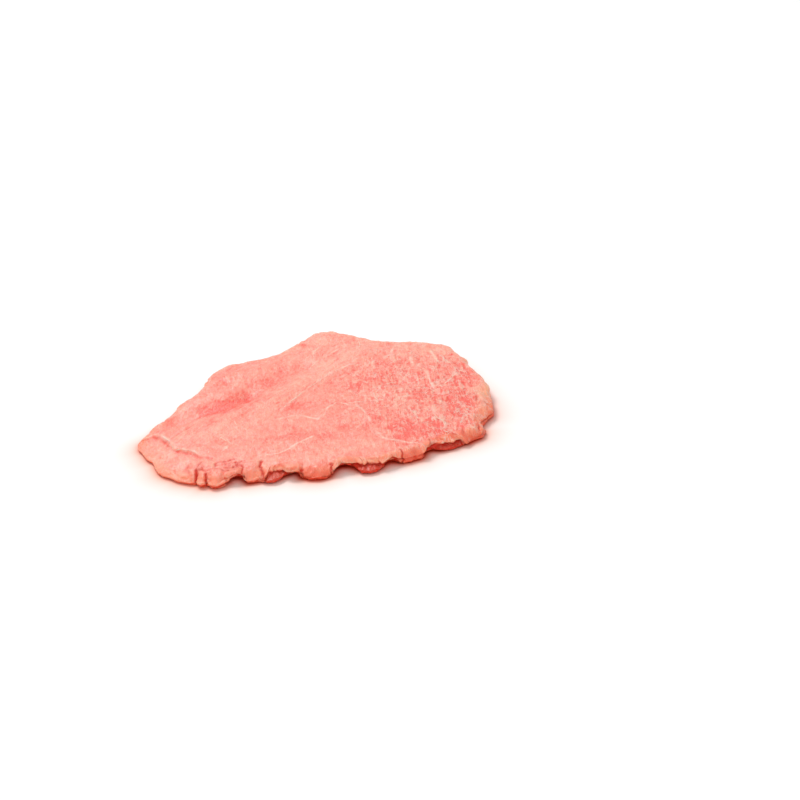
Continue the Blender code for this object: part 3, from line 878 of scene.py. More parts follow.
loop = rim_loop(skin_triangles)
loop_plan = lined_points[loop, :2]
under_plan = grid_inside(loop_plan, UNDER_STEP)
corners = [Vector(corner) for corner in np.vstack([loop_plan, under_plan])]
fill_points, _, fill_faces, *_ = delaunay_2d_cdt(corners, [], [list(range(len(loop)))], 1, MERGE)
assert len(fill_points) == len(corners), "the fill added or merged a point"
numbers = np.concatenate([loop, np.arange(len(under_plan)) + len(lined_points)])
under_triangles = numbers[np.array([tuple(face) for face in fill_faces])][:, ::-1]
under_3d = np.column_stack([under_plan, np.zeros(len(under_plan))])
hollow = np.clip(noise_sum(under_3d, HOLLOWS), 0.0, 1.0)
under_3d[:, 2] = HOLLOW_DEPTH * hollow * ramp(distance_to(under_plan, loop_plan), 0.0, HOLLOW_RIM)
flesh_points = np.vstack([lined_points, under_3d])
flesh_triangles = np.concatenate([skin_triangles, under_triangles])
print("flesh:", len(flesh_points), "points,", len(flesh_triangles), "triangles")

# %% [markdown]
# ## Colour of the flesh as numbers on its points
# Large differences of colour follow the form. The beaten right half is deeper pink, and the edge dries to
# peach. In the hollows the flesh is painted deeper pink as shade, on the ridges paler as painted light, and
# the torn flesh below the lip is dark red, partly its own colour and partly painted shade. Such places are
# easier to name here than in a shader, so each point carries a few shares that the material mixes later. The
# fine grain comes from the material's own noise.

# %% List deep and pale places
# Deep places on the top, in millimetres: x, y, half length, half width, direction in degrees, strength.
# Some of these are deeper flesh; the valley at the left and its run to the upper right are painted shade.
DEEP_AND_SHADED_PLACES = (
    (-45, 0, 12, 8, 15, 1.00),
    (-31, 10, 9, 4, 55, 0.60),
    (-18, 24, 15, 5, 42, 0.40),
    (-45, 26, 12, 6, 75, 0.50),
    (-9, -10, 8, 7, 60, 0.62),
    (22, 7, 7, 4, 75, 0.55),
    (-15, -42, 11, 6, 0, 0.55),
    (5, -44, 8, 6, 10, 0.50),
    (13, -38, 3, 3, 90, 0.65),
    (26, -36, 10, 5, 80, 0.40),
    (42, -44, 12, 8, 85, 1.00),
    (56, -48, 9, 7, 110, 0.85),
    (53, -10, 10, 4, 75, 0.45),
    (66, -20, 9, 4, 90, 0.55),
    (72, -27, 12, 4, 85, 0.70),
    (73, 2, 8, 4, 80, 0.65),
    (35, 16, 10, 8, 90, 0.25),
)
# Pale places, in the same order.
# Partly paler flesh, and partly painted light on the ridges.
PALE_AND_LIT_PLACES = (
    (-70, -46, 16, 8, 125, 0.50),
    (-35, -22, 26, 9, 25, 0.45),
    (-5, 13, 24, 7, 48, 0.55),
    (16, 38, 18, 10, 45, 0.60),
    (4, 66, 14, 10, 70, 0.70),
    (30, 58, 18, 6, 150, 0.45),
    (58, 38, 17, 9, 155, 0.85),
    (42, -16, 8, 7, 80, 0.38),
    (82, -16, 11, 4, 88, 1.30),
    (0, -58, 44, 6, 2, 0.25),
    (30, -58, 14, 5, 10, 0.30),
    (-42, 44, 12, 4, 20, 0.55),
    (36, -4, 16, 4, 20, 0.35),
    (50, -31, 16, 2, 110, 0.35),
    (62, -38, 14, 2, 112, 0.30),
)
# How red the lower layer is along the front edge, partly its own colour and partly painted shade below the
# lip: x, share.
UNDER_RED = np.array([
    (-34.0, 1.00),
    (-24.0, 0.88),
    (-14.0, 0.90),
    (-12.0, 1.00),
    (38.0, 1.00),
    (41.0, 0.55),
    (49.0, 0.55),
    (51.0, 0.90),
    (60.0, 1.00),
]) * (MM, 1)
# Flecks of fat, in the same order.
FLECKS = (
    (38.0, 33.0, 2.2, 0.9, 30, 1.0),
    (39.5, 29.5, 1.4, 0.8, 100, 0.8),
    (43.0, 45.0, 1.6, 0.8, 60, 0.7),
    (25.0, 55.0, 1.6, 0.7, 20, 0.7),
    (57.0, 12.0, 1.4, 0.8, 90, 0.7),
    (48.0, -28.0, 1.6, 0.8, 80, 0.8),
    (30.0, -47.0, 2.0, 0.8, 140, 0.9),
    (64.0, -24.0, 1.5, 0.7, 100, 0.7),
    (52.0, 2.0, 1.3, 0.7, 60, 0.6),
    (20.0, 29.0, 1.5, 0.6, 45, 0.6),
    (-26.0, -57.0, 1.6, 0.9, 30, 0.9),
    (8.0, -61.0, 1.4, 0.7, 100, 0.7),
    (70.0, 8.0, 1.3, 0.6, 80, 0.6),
    (-11.0, -25.0, 1.3, 0.6, 120, 0.5),
)
# The folded flap at the right end is cream, in the same order.
FLAP = (
    (82.8, -13.5, 8.0, 3.2, 82, 1.0),
    (80.5, -29.0, 5.0, 2.2, 100, 0.6),
    (74.0, -51.0, 3.0, 2.0, 20, 0.5),
)
# Wet red grains beside the clefts and folds, in the same order.
RED_PLACES = (
    (-38.5, -65, 5, 4.5, 0, 0.45),
    (-52, -62.5, 3, 1.5, 0, 0.35),
    (-12, -73, 6, 2.5, 0, 0.30),
)
print("places:", len(DEEP_AND_SHADED_PLACES), "deep,", len(PALE_AND_LIT_PLACES), "pale,", len(FLECKS), "flecks")

# %% [markdown]
# ## Tone and hollows
# One number, the tone, says how pale or deep the flesh is at each point. The listed places give most of
# it, and noise bends their borders. Hollows are deeper in colour because light is lost in them: a point
# lies in one where its neighbours stand higher than itself.

# %% Work out tone and hollows
GRAINY_BELOW = 0.3  # the underside is a little grainy everywhere
WANDER = 0.0035
TONE_NOISE = ((0.22, 0.009, 33), (0.12, 0.004, 34))
HOLLOW_UNIT = 0.00004
HOLLOW_ROUNDS = 3

flesh_plan = flesh_points[:, :2]
skin_count = len(lined_points)
is_under = np.arange(len(flesh_points)) >= skin_count


def padded_to_flesh(values, fill=0.0):
    """Values of the skin's points, with one value for all points of the underside."""
    return np.concatenate([values, np.full(len(flesh_points) - skin_count, fill)])


wander = WANDER * drift(flesh_points, 0.011, (31, 32))
# The deep places are partly painted shade, the pale places partly painted light.
deep = spots(flesh_plan + wander, DEEP_AND_SHADED_PLACES)
pale = spots(flesh_plan + wander, PALE_AND_LIT_PLACES)
tone = pale - 1.15 * deep - 0.30 * padded_to_flesh(grainy, GRAINY_BELOW)
tone = noise_sum(flesh_points, TONE_NOISE, start=tone)
facing = normals_of(flesh_points, flesh_triangles)
ends = sides_of(flesh_triangles)[0]
number, total = neighbour_sums(len(flesh_points), flesh_points, ends)
hollowness = ((total / number[:, None] - flesh_points) * facing).sum(axis=1) / HOLLOW_UNIT
for _ in range(HOLLOW_ROUNDS):
    stacked = np.repeat(hollowness[:, None], 3, axis=1)
    hollowness = (hollowness + neighbour_sums(len(flesh_points), stacked, ends)[1][:, 0] / number) / 2
hollowness = np.clip(hollowness, -1.0, 2.0)
print("tone from", round(float(tone.min()), 2), "to", round(float(tone.max()), 2))

# %% [markdown]
# ## Red, painted shade, lip and foot of the front
# The lower layer is wet, darker red flesh in the shade of the lip, so its dark red is partly its own colour
# and partly painted shade. The insides of clefts and pits and the roofs of arches and overhangs are painted
# dark red as shade, and the tops of the lobes a little lighter as painted light. The torn lip is a thin pale
# line, partly its pale skin and partly a painted highlight. Where the front has no lobes, its foot is
# painted a warmer pink as shade.

# %% Work out the reds and painted shade of the front
RAGGED = 0.00035
ROOF_SHADE = 0.85
ROOF_INSET = (0.0110, 0.0060)
LIP_HEIGHT = 0.0015
LIP_WIDTH = 0.00038
PALE_LIP_INSET = (0.0060, 0.0030)
# Where the foot of the front gets its painted shade.
FOOT_SHADE_X = (-0.034, -0.010)  # left of these the foot is low and faint, right of them high and strong
FOOT_SHADE_INSET = (0.0085, 0.0020)

front_facing = facing[:skin_count, 2]
height = lined_points[:, 2]
ragged = RAGGED * patches(ribbon, (0.0024, 0.004, 1), 35)
# The lower layer's red is partly its own colour and partly painted shade below the lip.
lower = torn * ramp(z + ragged, layer + 0.0010, layer + 0.0003)
under_red_and_shade = lower * np.interp(x, UNDER_RED[:, 0], UNDER_RED[:, 1])
# Painted light: the lower layer is less red where it faces up.
under_red_and_shade *= 1 - 0.20 * ramp(front_facing, 0.60, 0.95)
under_red_and_shade = np.maximum(under_red_and_shade, cleft_shade * front * (0.9 + 0.3 * patches(skin_points, 0.002, 36)))
grains = 1 + 0.9 * patches(skin_points, 0.0018, 37)
under_red_and_shade = np.maximum(under_red_and_shade, spots(plan, RED_PLACES) * grains)
# Painted shade: dark red on the roofs of arches and overhangs that face down.
hanging = front * ramp(front_facing, 0.0, -0.45) * ramp(inset, *ROOF_INSET)
under_red_and_shade = np.maximum(under_red_and_shade, ROOF_SHADE * hanging * ramp(height, 0.0004, 0.0012))
# The thin pale line of the torn lip: partly pale skin, partly a painted highlight.
lip_edge_and_highlight = bell(z + ragged - layer - LIP_HEIGHT, LIP_WIDTH)
lip_here = 0.8 * torn * (1 - hanging) * lip_edge_and_highlight * ramp(inset, *PALE_LIP_INSET)
lip_here = np.maximum(lip_here, spots(plan, FLAP) * upper)
# Painted shade: the foot of the front, where it has no lobes, is warmer and darker.
rightward = ramp(x, *FOOT_SHADE_X)
foot = front * (1 - torn) * ramp(height, 0.0022 + 0.0042 * rightward, 0.0006)
foot *= ramp(inset, *FOOT_SHADE_INSET) * (0.45 + 0.55 * rightward)
print("red points:", int((under_red_and_shade > 0.5).sum()), "lip points:", int((lip_here > 0.3).sum()))

# %% [markdown]
# ## Pale lines of the rear
# The rear's cut edge dries to a broken cream line along its top, and its layers differ in tone. With this
# all shares are known. Each becomes an attribute that the material or the threads read by its name.

# %% Collect the shares
rear_line = 0.7 * bell(rim.share - 0.9, 0.08) * ramp(rim.inset, 0.0040, 0.0015) * broken
top_line = bell(rim.inset - 0.0016, 0.0010) * on_top * (0.65 + 0.5 * ramp(x, *CALM_X))
rear_tone = rear * (0.55 * layers - 0.55)
edge = ramp(padded_to_flesh(rim.inset, 0.02), 0.0075, 0.0010) * (1 - is_under)
fleck = spots(plan + 0.6 * MM * sway, FLECKS)
thread_density = level * ramp(rim.inset, 0.004, 0.009) * (0.25 + grainy)
shares = {
    "vein": padded_to_flesh(np.maximum(vein * level, fleck)),
    "rear_edge": padded_to_flesh((1 - front) * np.maximum(rear_line, top_line)),
    # Deeper in hollows and paler on bumps: painted shade and painted light.
    "tone": tone - 0.35 * np.clip(hollowness, -0.8, 1.2) + padded_to_flesh(rear_tone),
    "hollow": np.clip(hollowness - 0.4, 0.0, 1.6) / 1.6,
    # Painted shade: the front is darker red, the less it faces up.
    "steep": np.clip(1.05 - facing[:, 2], 0.0, 1.0) * padded_to_flesh(front) * (1 - is_under),
    "edge": edge * padded_to_flesh(0.35 + 0.65 * front),
    # Partly the red of the lower layer, partly painted shade below the lip, in clefts and under arches.
    "torn_red": padded_to_flesh(under_red_and_shade),
    # Partly pale skin and a cream flap, partly a painted highlight on the torn lip.
    "lip": padded_to_flesh(lip_here),
    # Painted shade at the front's foot.
    "foot": padded_to_flesh(foot),
    "grainy": padded_to_flesh(grainy, GRAINY_BELOW),
    "ridge": padded_to_flesh(ridge),
    "underside": is_under.astype(float),
    "thread_density": padded_to_flesh(thread_density),
}
print("shares:", ", ".join(shares))

# %% [markdown]
# ## The flesh piece
# The points and triangles become one mesh, shaded smoothly, and its points carry the shares.

# %% Make the flesh piece
def made_piece(name, points, triangles):
    """A smooth-shaded mesh object with its place in its mesh."""
    mesh = bpy.data.meshes.new(name)
    mesh.from_pydata(points.tolist(), [], triangles.tolist())
    mesh.shade_smooth()
    piece = bpy.data.objects.new(name, mesh)
    scene.collection.objects.link(piece)
    return piece


def with_shares(piece, values_by_name):
    """The piece with one number for each point under each name."""
    for name, values in values_by_name.items():
        attribute = piece.data.attributes.new(name, "FLOAT", "POINT")
        attribute.data.foreach_set("value", values.astype(np.float32))
    return piece


flesh = with_shares(made_piece("flesh", flesh_points, flesh_triangles), shares)
print("flesh piece:", len(flesh.data.polygons), "triangles,", len(shares), "shares")

# %% [markdown]
# ## Writing shaders as sums
# A shader tree is easier to read as a few sums than as a long list of nodes. The class below wraps a
# socket, so that mask * 0.5 adds the Math node for it, and its one method makes every other node
# from a type, its settings and what its sockets get. Trees of Geometry Nodes are built with it too.

# %% Wrap a socket
class Wire:
    """An output socket that takes part in Python sums."""

    def __init__(self, socket):
        self.socket = socket
        self.tree = socket.id_data

    @staticmethod
    def found(sockets, key):
        """The socket with that number or, among those in use, that name."""
        if isinstance(key, int):
            return sockets[key]
        return next(socket for socket in sockets if socket.name == key and socket.enabled)

    @classmethod
    def node(cls, tree, kind, settings=None, inputs=None, output=0):
        """A new node's output. Settings are set first, then each input gets a value or a link."""
        made = tree.nodes.new(kind)
        for name, value in (settings or {}).items():
            setattr(made, name, value)
        for key, value in (inputs or {}).items():
            socket = cls.found(made.inputs, key)
            if isinstance(value, (list, tuple)) and value and isinstance(value[0], Wire):
                for one in value:
                    tree.links.new(one.socket, socket)
            elif isinstance(value, Wire):
                tree.links.new(value.socket, socket)
            else:
                socket.default_value = value
        return cls(cls.found(made.outputs, output))

    def maths(self, operation, first, second):
        return Wire.node(self.tree, "ShaderNodeMath", {"operation": operation}, {0: first, 1: second})

    def __add__(self, other):
        return self.maths("ADD", self, other)

    def __radd__(self, other):
        return self.maths("ADD", other, self)

    def __sub__(self, other):
        return self.maths("SUBTRACT", self, other)

    def __rsub__(self, other):
        return self.maths("SUBTRACT", other, self)

    def __mul__(self, other):
        return self.maths("MULTIPLY", self, other)

    def __rmul__(self, other):
        return self.maths("MULTIPLY", other, self)


print("Wire sums:", [name for name in vars(Wire) if name.startswith("__r")])

# %% [markdown]
# ## Building blocks of a finish
# Both finishes, flesh and fat, are mixed from the same few parts: the shares of the points, soft noise in
# cells of a real size, soft steps between two values, and colours. All noise reads Object coordinates,
# so its cells are given in metres. Named like this, a finish reads as a list of what is on the meat.

# %% Name the shader's building blocks
def share(tree, name):
    """One of the numbers that the piece's points carry."""
    return Wire.node(tree, "ShaderNodeAttribute", {"attribute_name": name}, output="Fac")


def place(tree, degrees=0.0, cell=(1.0, 1.0, 1.0)):
    """Object coordinates, turned by the degrees about Z and measured in cells of that size."""
    coordinates = Wire.node(tree, "ShaderNodeTexCoord", output="Object")
    turned = {"Vector": coordinates, "Rotation": (0.0, 0.0, math.radians(degrees)), "Scale": cell}
    return Wire.node(tree, "ShaderNodeMapping", {"vector_type": "TEXTURE"}, turned)


def cloud(tree, where, detail=2.0, roughness=0.5, distortion=0.0):
    """Soft noise from 0 to 1 whose patches are one cell wide."""
    inputs = {"Vector": where, "Scale": 1.0, "Detail": detail, "Roughness": roughness}
    inputs["Distortion"] = distortion
    return Wire.node(tree, "ShaderNodeTexNoise", {"noise_dimensions": "3D"}, inputs)


def between(value, low, high, start=0.0, end=1.0):
    """Start below the low value and end above the high one, with a soft step between."""
    inputs = {0: value, 1: low, 2: high, 3: start, 4: end}
    return Wire.node(value.tree, "ShaderNodeMapRange", {"interpolation_type": "SMOOTHSTEP"}, inputs)


def abs_of(value):
    """The value without its sign."""
    return Wire.node(value.tree, "ShaderNodeMath", {"operation": "ABSOLUTE"}, {0: value})


def mixed(factor, first, second):
    """Colours mixed by a factor from 0 to 1."""
    inputs = {"Factor": factor, "A": first, "B": second}
    settings = {"data_type": "RGBA", "clamp_factor": True}
    return Wire.node(factor.tree, "ShaderNodeMix", settings, inputs, output="Result")


def colour(red, green, blue):
    """A colour given as it looks on a screen, from 0 to 255, turned into the light that it stands for."""
    light = [(part / 255 / 12.92) if part < 11 else ((part / 255 + 0.055) / 1.055) ** 2.4
             for part in (red, green, blue)]
    return (*light, 1.0)


print("a colour as light:", [round(part, 3) for part in colour(253, 178, 162)])

# %% [markdown]
# ## What all finishes of the meat share
# All of the meat is moist and lets light in, so one set of values holds what its finishes have in common.
# A finish is then a recipe: a function that adds what changes from place to place, and returns all of it
# by the names of the shader's sockets.

# %% Share the moist finish
# Light enters and spreads a few millimetres, red the furthest.
MOIST = {
    "Subsurface Radius": (1.0, 0.36, 0.24),
    "Subsurface Scale": 0.0026,
    "IOR": 1.38,
    "Specular IOR Level": 0.30,
    "Coat Roughness": 0.25,
}


def painted(name, recipe):
    """A new material whose shader gets what the recipe returns for its tree, by the sockets' names."""
    material = bpy.data.materials.new(name)
    material.use_nodes = True
    tree = material.node_tree
    shader = tree.nodes["Principled BSDF"]
    for key, value in recipe(tree).items():
        if isinstance(value, Wire):
            tree.links.new(value.socket, shader.inputs[key])
        else:
            shader.inputs[key].default_value = value
    return material


print("the moist finish sets:", ", ".join(MOIST))

# %% [markdown]
# ## Colours of the flesh
# Fresh pork is pale pink. Three pinks make its tones, from pale to deep, and the other colours belong to its
# edges, its torn parts and its fat, and to the painted shade of its front and its hollows. They are given as
# they look on a screen.

# %% Name the flesh's colours
PALE = colour(255, 170, 149)
MEDIUM = colour(253, 149, 132)
DEEP = colour(244, 102, 90)
PEACH = colour(255, 156, 116)
# Dark red: partly the lower layer's own colour, partly painted shade below the lip and in clefts.
DARK_RED = colour(190, 32, 10)
THREAD = colour(255, 216, 198)
# Cream of the cut edges, also used for a painted highlight on the torn lip.
LIP_EDGE = colour(255, 184, 146)
# Painted shade of the front, on its foot and its walls.
FRONT_SHADE = colour(228, 82, 52)
# Painted shade in the hollows.
HOLLOW_SHADE_RED = colour(222, 50, 26)
print("green light of the three pinks:", [round(pink[1], 2) for pink in (PALE, MEDIUM, DEEP)])

# %% [markdown]
# ## Grain of the flesh
# From near, pork is marbled: bundles of fibres lie side by side, thin pale walls run between them, and
# the beaten parts are covered with light flecks. Each kind of grain is a noise in cells that are
# stretched along the fibres. The lists say what each looks like, and what it does to the tone.

# %% List the grain and the coats
# Each grain: direction in degrees, cell, detail, roughness, distortion.
GRAIN = {
    "ridge fibres": (48, (0.0090, 0.0011, 0.004), 3.0, 0.6, 0.5),
    "rear fibres": (95, (0.0066, 0.0011, 0.003), 2.0, 0.5, 0.8),
    "mottle": (94, (0.0032, 0.0022, 0.002), 2.0, 0.55, 0.6),
    "specks": (94, (0.0019, 0.0013, 0.0012), 1.0, 0.5, 0.4),
    "blotches": (60, (0.0060, 0.0038, 0.004), 3.0, 0.6, 0.8),
    "walls": (97, (0.0048, 0.0018, 0.004), 1.0, 0.5, 1.0),
    "wall breaks": (20, (0.0046, 0.0046, 0.005), 2.0, 0.5, 0.0),
    "curls": (75, (0.0030, 0.0016, 0.003), 1.0, 0.5, 1.4),
    "curl breaks": (-35, (0.0038, 0.0038, 0.004), 2.0, 0.5, 0.0),
    "lobes": (0, (0.0016, 0.0016, 0.0012), 2.0, 0.5, 0.0),
}
# How a grain shifts the tone: everywhere, how much more where a share is full, and that share.
SHIFTS = (
    ("blotches", 1.7, -0.5, "grainy"),
    ("ridge fibres", 0.6, 3.0, "ridge"),
    ("rear fibres", 0.5, 3.4, "grainy"),
    ("mottle", 1.1, 0.5, "grainy"),
    ("specks", 1.7, 1.5, "grainy"),
)
# Pale strokes: noise, half width, what breaks them, from where to where, strength, more where grainy.
STROKES = (
    ("walls", 0.070, "wall breaks", (0.42, 0.58), 0.22, 0.34),
    ("curls", 0.065, "curl breaks", (0.46, 0.60), 0.22, 0.30),
)
# The last coats, in their order: the share that says where, strength, colour.
COATS = (
    # Foot, steep and hollow are painted shade; the lip is partly a painted highlight.
    ("foot", 0.90, FRONT_SHADE),
    ("steep", 0.42, FRONT_SHADE),
    ("hollow", 0.85, HOLLOW_SHADE_RED),
    ("lip", 0.42, LIP_EDGE),
    ("underside", 0.35, DEEP),
)
print("finish:", len(GRAIN), "grains,", len(STROKES), "kinds of strokes,", len(COATS), "last coats")

# %% [markdown]
# ## The flesh's finish
# The colour starts from the tone of the point, and the grain shifts it. A stroke is where a noise crosses
# its middle value, cut short by another noise, which gives short curly lines. Threads, edges and torn parts
# are laid over this, each by its own share, and so is painted shade on the front's foot and walls and in the
# hollows. The film of moisture is satin, and the same grain makes it a little uneven.

# %% Mix the flesh's finish
DEEP_TO_MEDIUM = (-1.25, 0.15)
MEDIUM_TO_PALE = (-0.15, 1.10)
STROKE_CORE = 0.015
RELIEF = {"Strength": 0.70, "Distance": 0.00055}


def raw_pork(tree):
    """The flesh: a tone from the shares, grain, strokes, and the colours of its edges."""
    part = {name: share(tree, name) for name in ("grainy", "ridge")}
    grain = {}
    for name, (degrees, cell, *kind) in GRAIN.items():
        grain[name] = cloud(tree, place(tree, degrees, cell), *kind)

    tone_here = share(tree, "tone")
    for name, everywhere, more, where in SHIFTS:
        tone_here = tone_here + (grain[name] - 0.5) * (part[where] * more + everywhere)
    base = mixed(between(tone_here, *DEEP_TO_MEDIUM), DEEP, MEDIUM)
    base = mixed(between(tone_here, *MEDIUM_TO_PALE), base, PALE)
    base = mixed(share(tree, "edge") * 0.58, base, PEACH)

    walls, curls = (
        between(abs_of(grain[name] - 0.5), half_width, STROKE_CORE)
        * between(grain[breaks], *limits)
        * (part["grainy"] * more + everywhere)
        for name, half_width, breaks, limits, everywhere, more in STROKES
    )
    strokes = walls + curls - walls * curls
    base = mixed(strokes, base, THREAD)
    base = mixed(share(tree, "vein") * (0.25 + grain["specks"] * 0.75), base, THREAD)
    base = mixed(share(tree, "rear_edge") * 0.55, base, LIP_EDGE)
    # Dark red of the lower layer, clefts and arch roofs: partly its own colour, partly painted shade.
    base = mixed(share(tree, "torn_red") * (1.05 + (grain["lobes"] - 0.5) * 0.6), base, DARK_RED)
    for name, strength, coat in COATS:
        base = mixed(share(tree, name) * strength, base, coat)

    shine = 0.38 - (grain["mottle"] - 0.5) * 0.40 + (grain["specks"] - 0.5) * 0.25
    height = grain["ridge fibres"] * part["ridge"] * 0.8 + grain["rear fibres"] * part["grainy"] * 1.1
    height = height + grain["mottle"] * 1.2 + grain["specks"] * 0.55 + strokes * 0.60
    normal = Wire.node(tree, "ShaderNodeBump", {}, {**RELIEF, "Height": height})
    return {**MOIST, "Subsurface Weight": 0.50, "Coat Weight": 0.10,
            "Base Color": base, "Roughness": shine, "Normal": normal}


flesh.data.materials.append(painted("raw_pork", raw_pork))
print("flesh finish:", len(flesh.data.materials[0].node_tree.nodes), "nodes")

# %% [markdown]
# ## Threads of fat and sinew
# Thin pale threads lie on the flesh: some long ones, whose paths are listed above, and many short curly
# ones, closest together in the beaten right half. The long ones start as a curve object with one straight
# line from place to place, held above the slice.

# %% Draw the long threads
THREAD_START = 0.030  # height from which a path is dropped onto the flesh


def path_object(name, paths):
    """A curve object with one open line through the places of each path."""
    lines = bpy.data.curves.new(name, "CURVE")
    lines.dimensions = "3D"
    for half_width, places in paths:
        line = lines.splines.new("POLY")
        line.points.add(len(places) - 1)
        for point, (place_x, place_y) in zip(line.points, places):
            point.co = (place_x * MM, place_y * MM, THREAD_START, 1.0)
            point.radius = half_width * MM
    holder = bpy.data.objects.new(name, lines)
    scene.collection.objects.link(holder)
    return holder


thread_paths = path_object("threads", THREADS)
print("long threads:", len(thread_paths.data.splines))

# %% [markdown]
# ## A tree that grows pieces
# Geometry Nodes suit threads, because one tree treats them all alike. The class below holds such a tree
# with its named inputs. It adds nodes, sets the inputs by their identifiers, and turns what the tree
# makes into a plain mesh, whose instances are real and whose material is set.

# %% Wrap a Geometry Nodes tree
class Grower:
    """A Geometry Nodes tree with named inputs, and the means to run it on an object."""

    def __init__(self, name, inputs):
        self.tree = bpy.data.node_groups.new(name, "GeometryNodeTree")
        self.tree.interface.new_socket("Geometry", in_out="INPUT", socket_type="NodeSocketGeometry")
        self.tree.interface.new_socket("Geometry", in_out="OUTPUT", socket_type="NodeSocketGeometry")
        for label, kind in inputs.items():
            self.tree.interface.new_socket(label, in_out="INPUT", socket_type="NodeSocket" + kind)
        self.group = self.tree.nodes.new("NodeGroupInput")

    def given(self, label):
        return Wire(self.group.outputs[label])

    def add(self, kind, settings=None, inputs=None, output=0):
        return Wire.node(self.tree, kind, settings, inputs, output)

    def vector(self, operation, first, second):
        return self.add("ShaderNodeVectorMath", {"operation": operation}, {0: first, 1: second})

    def scaled(self, vector, factor):
        return self.add("ShaderNodeVectorMath", {"operation": "SCALE"}, {0: vector, "Scale": factor})

    def chance(self, low, high, seed, **more):
        """A random number for each element, with a seed of its own."""
        limits = {"Min": low, "Max": high, "Seed": seed, **more}
        return self.add("FunctionNodeRandomValue", {"data_type": "FLOAT"}, limits, "Value")

    def noise(self, where, scale, detail, output):
        inputs = {"Vector": where, "Scale": scale, "Detail": detail}
        return self.add("ShaderNodeTexNoise", {"noise_dimensions": "3D"}, inputs, output)

    def shape_of(self, target):
        """The geometry of another object, in the place where it stands."""
        settings = {"transform_space": "RELATIVE"}
        return self.add("GeometryNodeObjectInfo", settings, {"Object": target}, "Geometry")

    def end_with(self, geometry, material):
        """Realizes the instances, sets the material and joins the result to the tree's output."""
        real = self.add("GeometryNodeRealizeInstances", {}, {"Geometry": geometry})
        coated = self.add("GeometryNodeSetMaterial", {}, {"Geometry": real, "Material": material})
        end = self.tree.nodes.new("NodeGroupOutput")
        self.tree.links.new(coated.socket, end.inputs["Geometry"])

    def grown(self, base, values, name):
        """A plain mesh piece of what the tree makes from the base object."""
        modifier = base.modifiers.new("grower", "NODES")
        modifier.node_group = self.tree
        for item in self.tree.interface.items_tree:
            if item.in_out == "INPUT" and item.name in values:
                modifier[item.identifier] = values[item.name]
        bpy.context.view_layer.update()
        graph = bpy.context.evaluated_depsgraph_get()
        mesh = bpy.data.meshes.new_from_object(base.evaluated_get(graph), depsgraph=graph)
        bpy.data.objects.remove(base)
        mesh.name = name
        piece = bpy.data.objects.new(name, mesh)
        scene.collection.objects.link(piece)
        return piece


print("a tree's makers:", [name for name in vars(Grower) if not name.startswith("_")])

# %% [markdown]
# ## Short threads
# The short ones are one bent stroke, set on points that are scattered over the flesh. Chance gives each a
# turn near the grain, a bend to one side or the other, a length and a width.

# %% Scatter the short threads
# The bent stroke: start, middle, end.
STROKE = {"Start": (0.0, -0.5, 0.0), "Middle": (0.35, 0.05, 0.0), "End": (-0.05, 0.5, 0.0), "Resolution": 8}


def short_threads(grower):
    """Curves with their radius, held above the flesh."""
    add = grower.add
    named = {"Name": "thread_density"}
    density = add("GeometryNodeInputNamedAttribute", {"data_type": "FLOAT"}, named, "Attribute")
    density = density * grower.given("Short per square metre")
    flesh_shape = grower.shape_of(grower.given("Flesh"))
    scatter = {"Mesh": flesh_shape, "Density": density, "Seed": grower.given("Seed")}
    points = add("GeometryNodeDistributePointsOnFaces", {"distribute_method": "RANDOM"}, scatter, "Points")
    turn = add("ShaderNodeCombineXYZ", {}, {"Z": grower.chance(-0.55, 0.65, 1)})
    length = grower.chance(0.35, 1.6, 3) * grower.given("Short length")
    bend = grower.chance(-1.0, 1.0, 2) * length
    stretch = add("ShaderNodeCombineXYZ", {}, {"X": bend, "Y": length, "Z": length})
    stroke = add("GeometryNodeCurveQuadraticBezier", {}, STROKE)
    placed = {"Points": points, "Instance": stroke, "Rotation": turn, "Scale": stretch}
    strokes = add("GeometryNodeInstanceOnPoints", {}, placed)
    strokes = add("GeometryNodeRealizeInstances", {}, {"Geometry": strokes})
    owner = add("GeometryNodeCurveOfPoint", {}, {}, "Curve Index")
    half_width = grower.chance(0.55, 1.5, 4, ID=owner) * grower.given("Short half width")
    strokes = add("GeometryNodeSetCurveRadius", {}, {"Curve": strokes, "Radius": half_width})
    raised = add("ShaderNodeCombineXYZ", {}, {"Z": THREAD_START})
    return add("GeometryNodeSetPosition", {}, {"Geometry": strokes, "Offset": raised})


print("short threads: a stroke of", STROKE["Resolution"], "steps")

# %% [markdown]
# ## From lines to threads
# Long and short lines then take the same way. They wander sideways with soft noise, drop straight down
# onto the flesh by a ray, and dip into it here and there, so that only parts of them show. A ring that
# runs along them makes the tubes, thin at both ends.

# %% Land the threads and give them a section
WANDER_SCALE = 330.0
DIP_SCALE = 420.0
DIP_BALANCE = 1.6
TAPER_POWER = 0.45
RING_SIDES = 6
RAY_LENGTH = 0.1


def dropped(grower, curves, surface, sink):
    """The curves with each point moved straight down onto the surface, and sunk into it by that much."""
    where = grower.add("GeometryNodeInputPosition")
    ray = {"Target Geometry": grower.shape_of(surface), "Source Position": where}
    ray.update({"Ray Direction": (0.0, 0.0, -1.0), "Ray Length": RAY_LENGTH})
    hit = grower.add("GeometryNodeRaycast", {}, ray, "Hit Position")
    normal = grower.add("GeometryNodeRaycast", {}, ray, "Hit Normal")
    landed = grower.vector("SUBTRACT", hit, grower.scaled(normal, sink))
    return grower.add("GeometryNodeSetPosition", {}, {"Geometry": curves, "Position": landed})


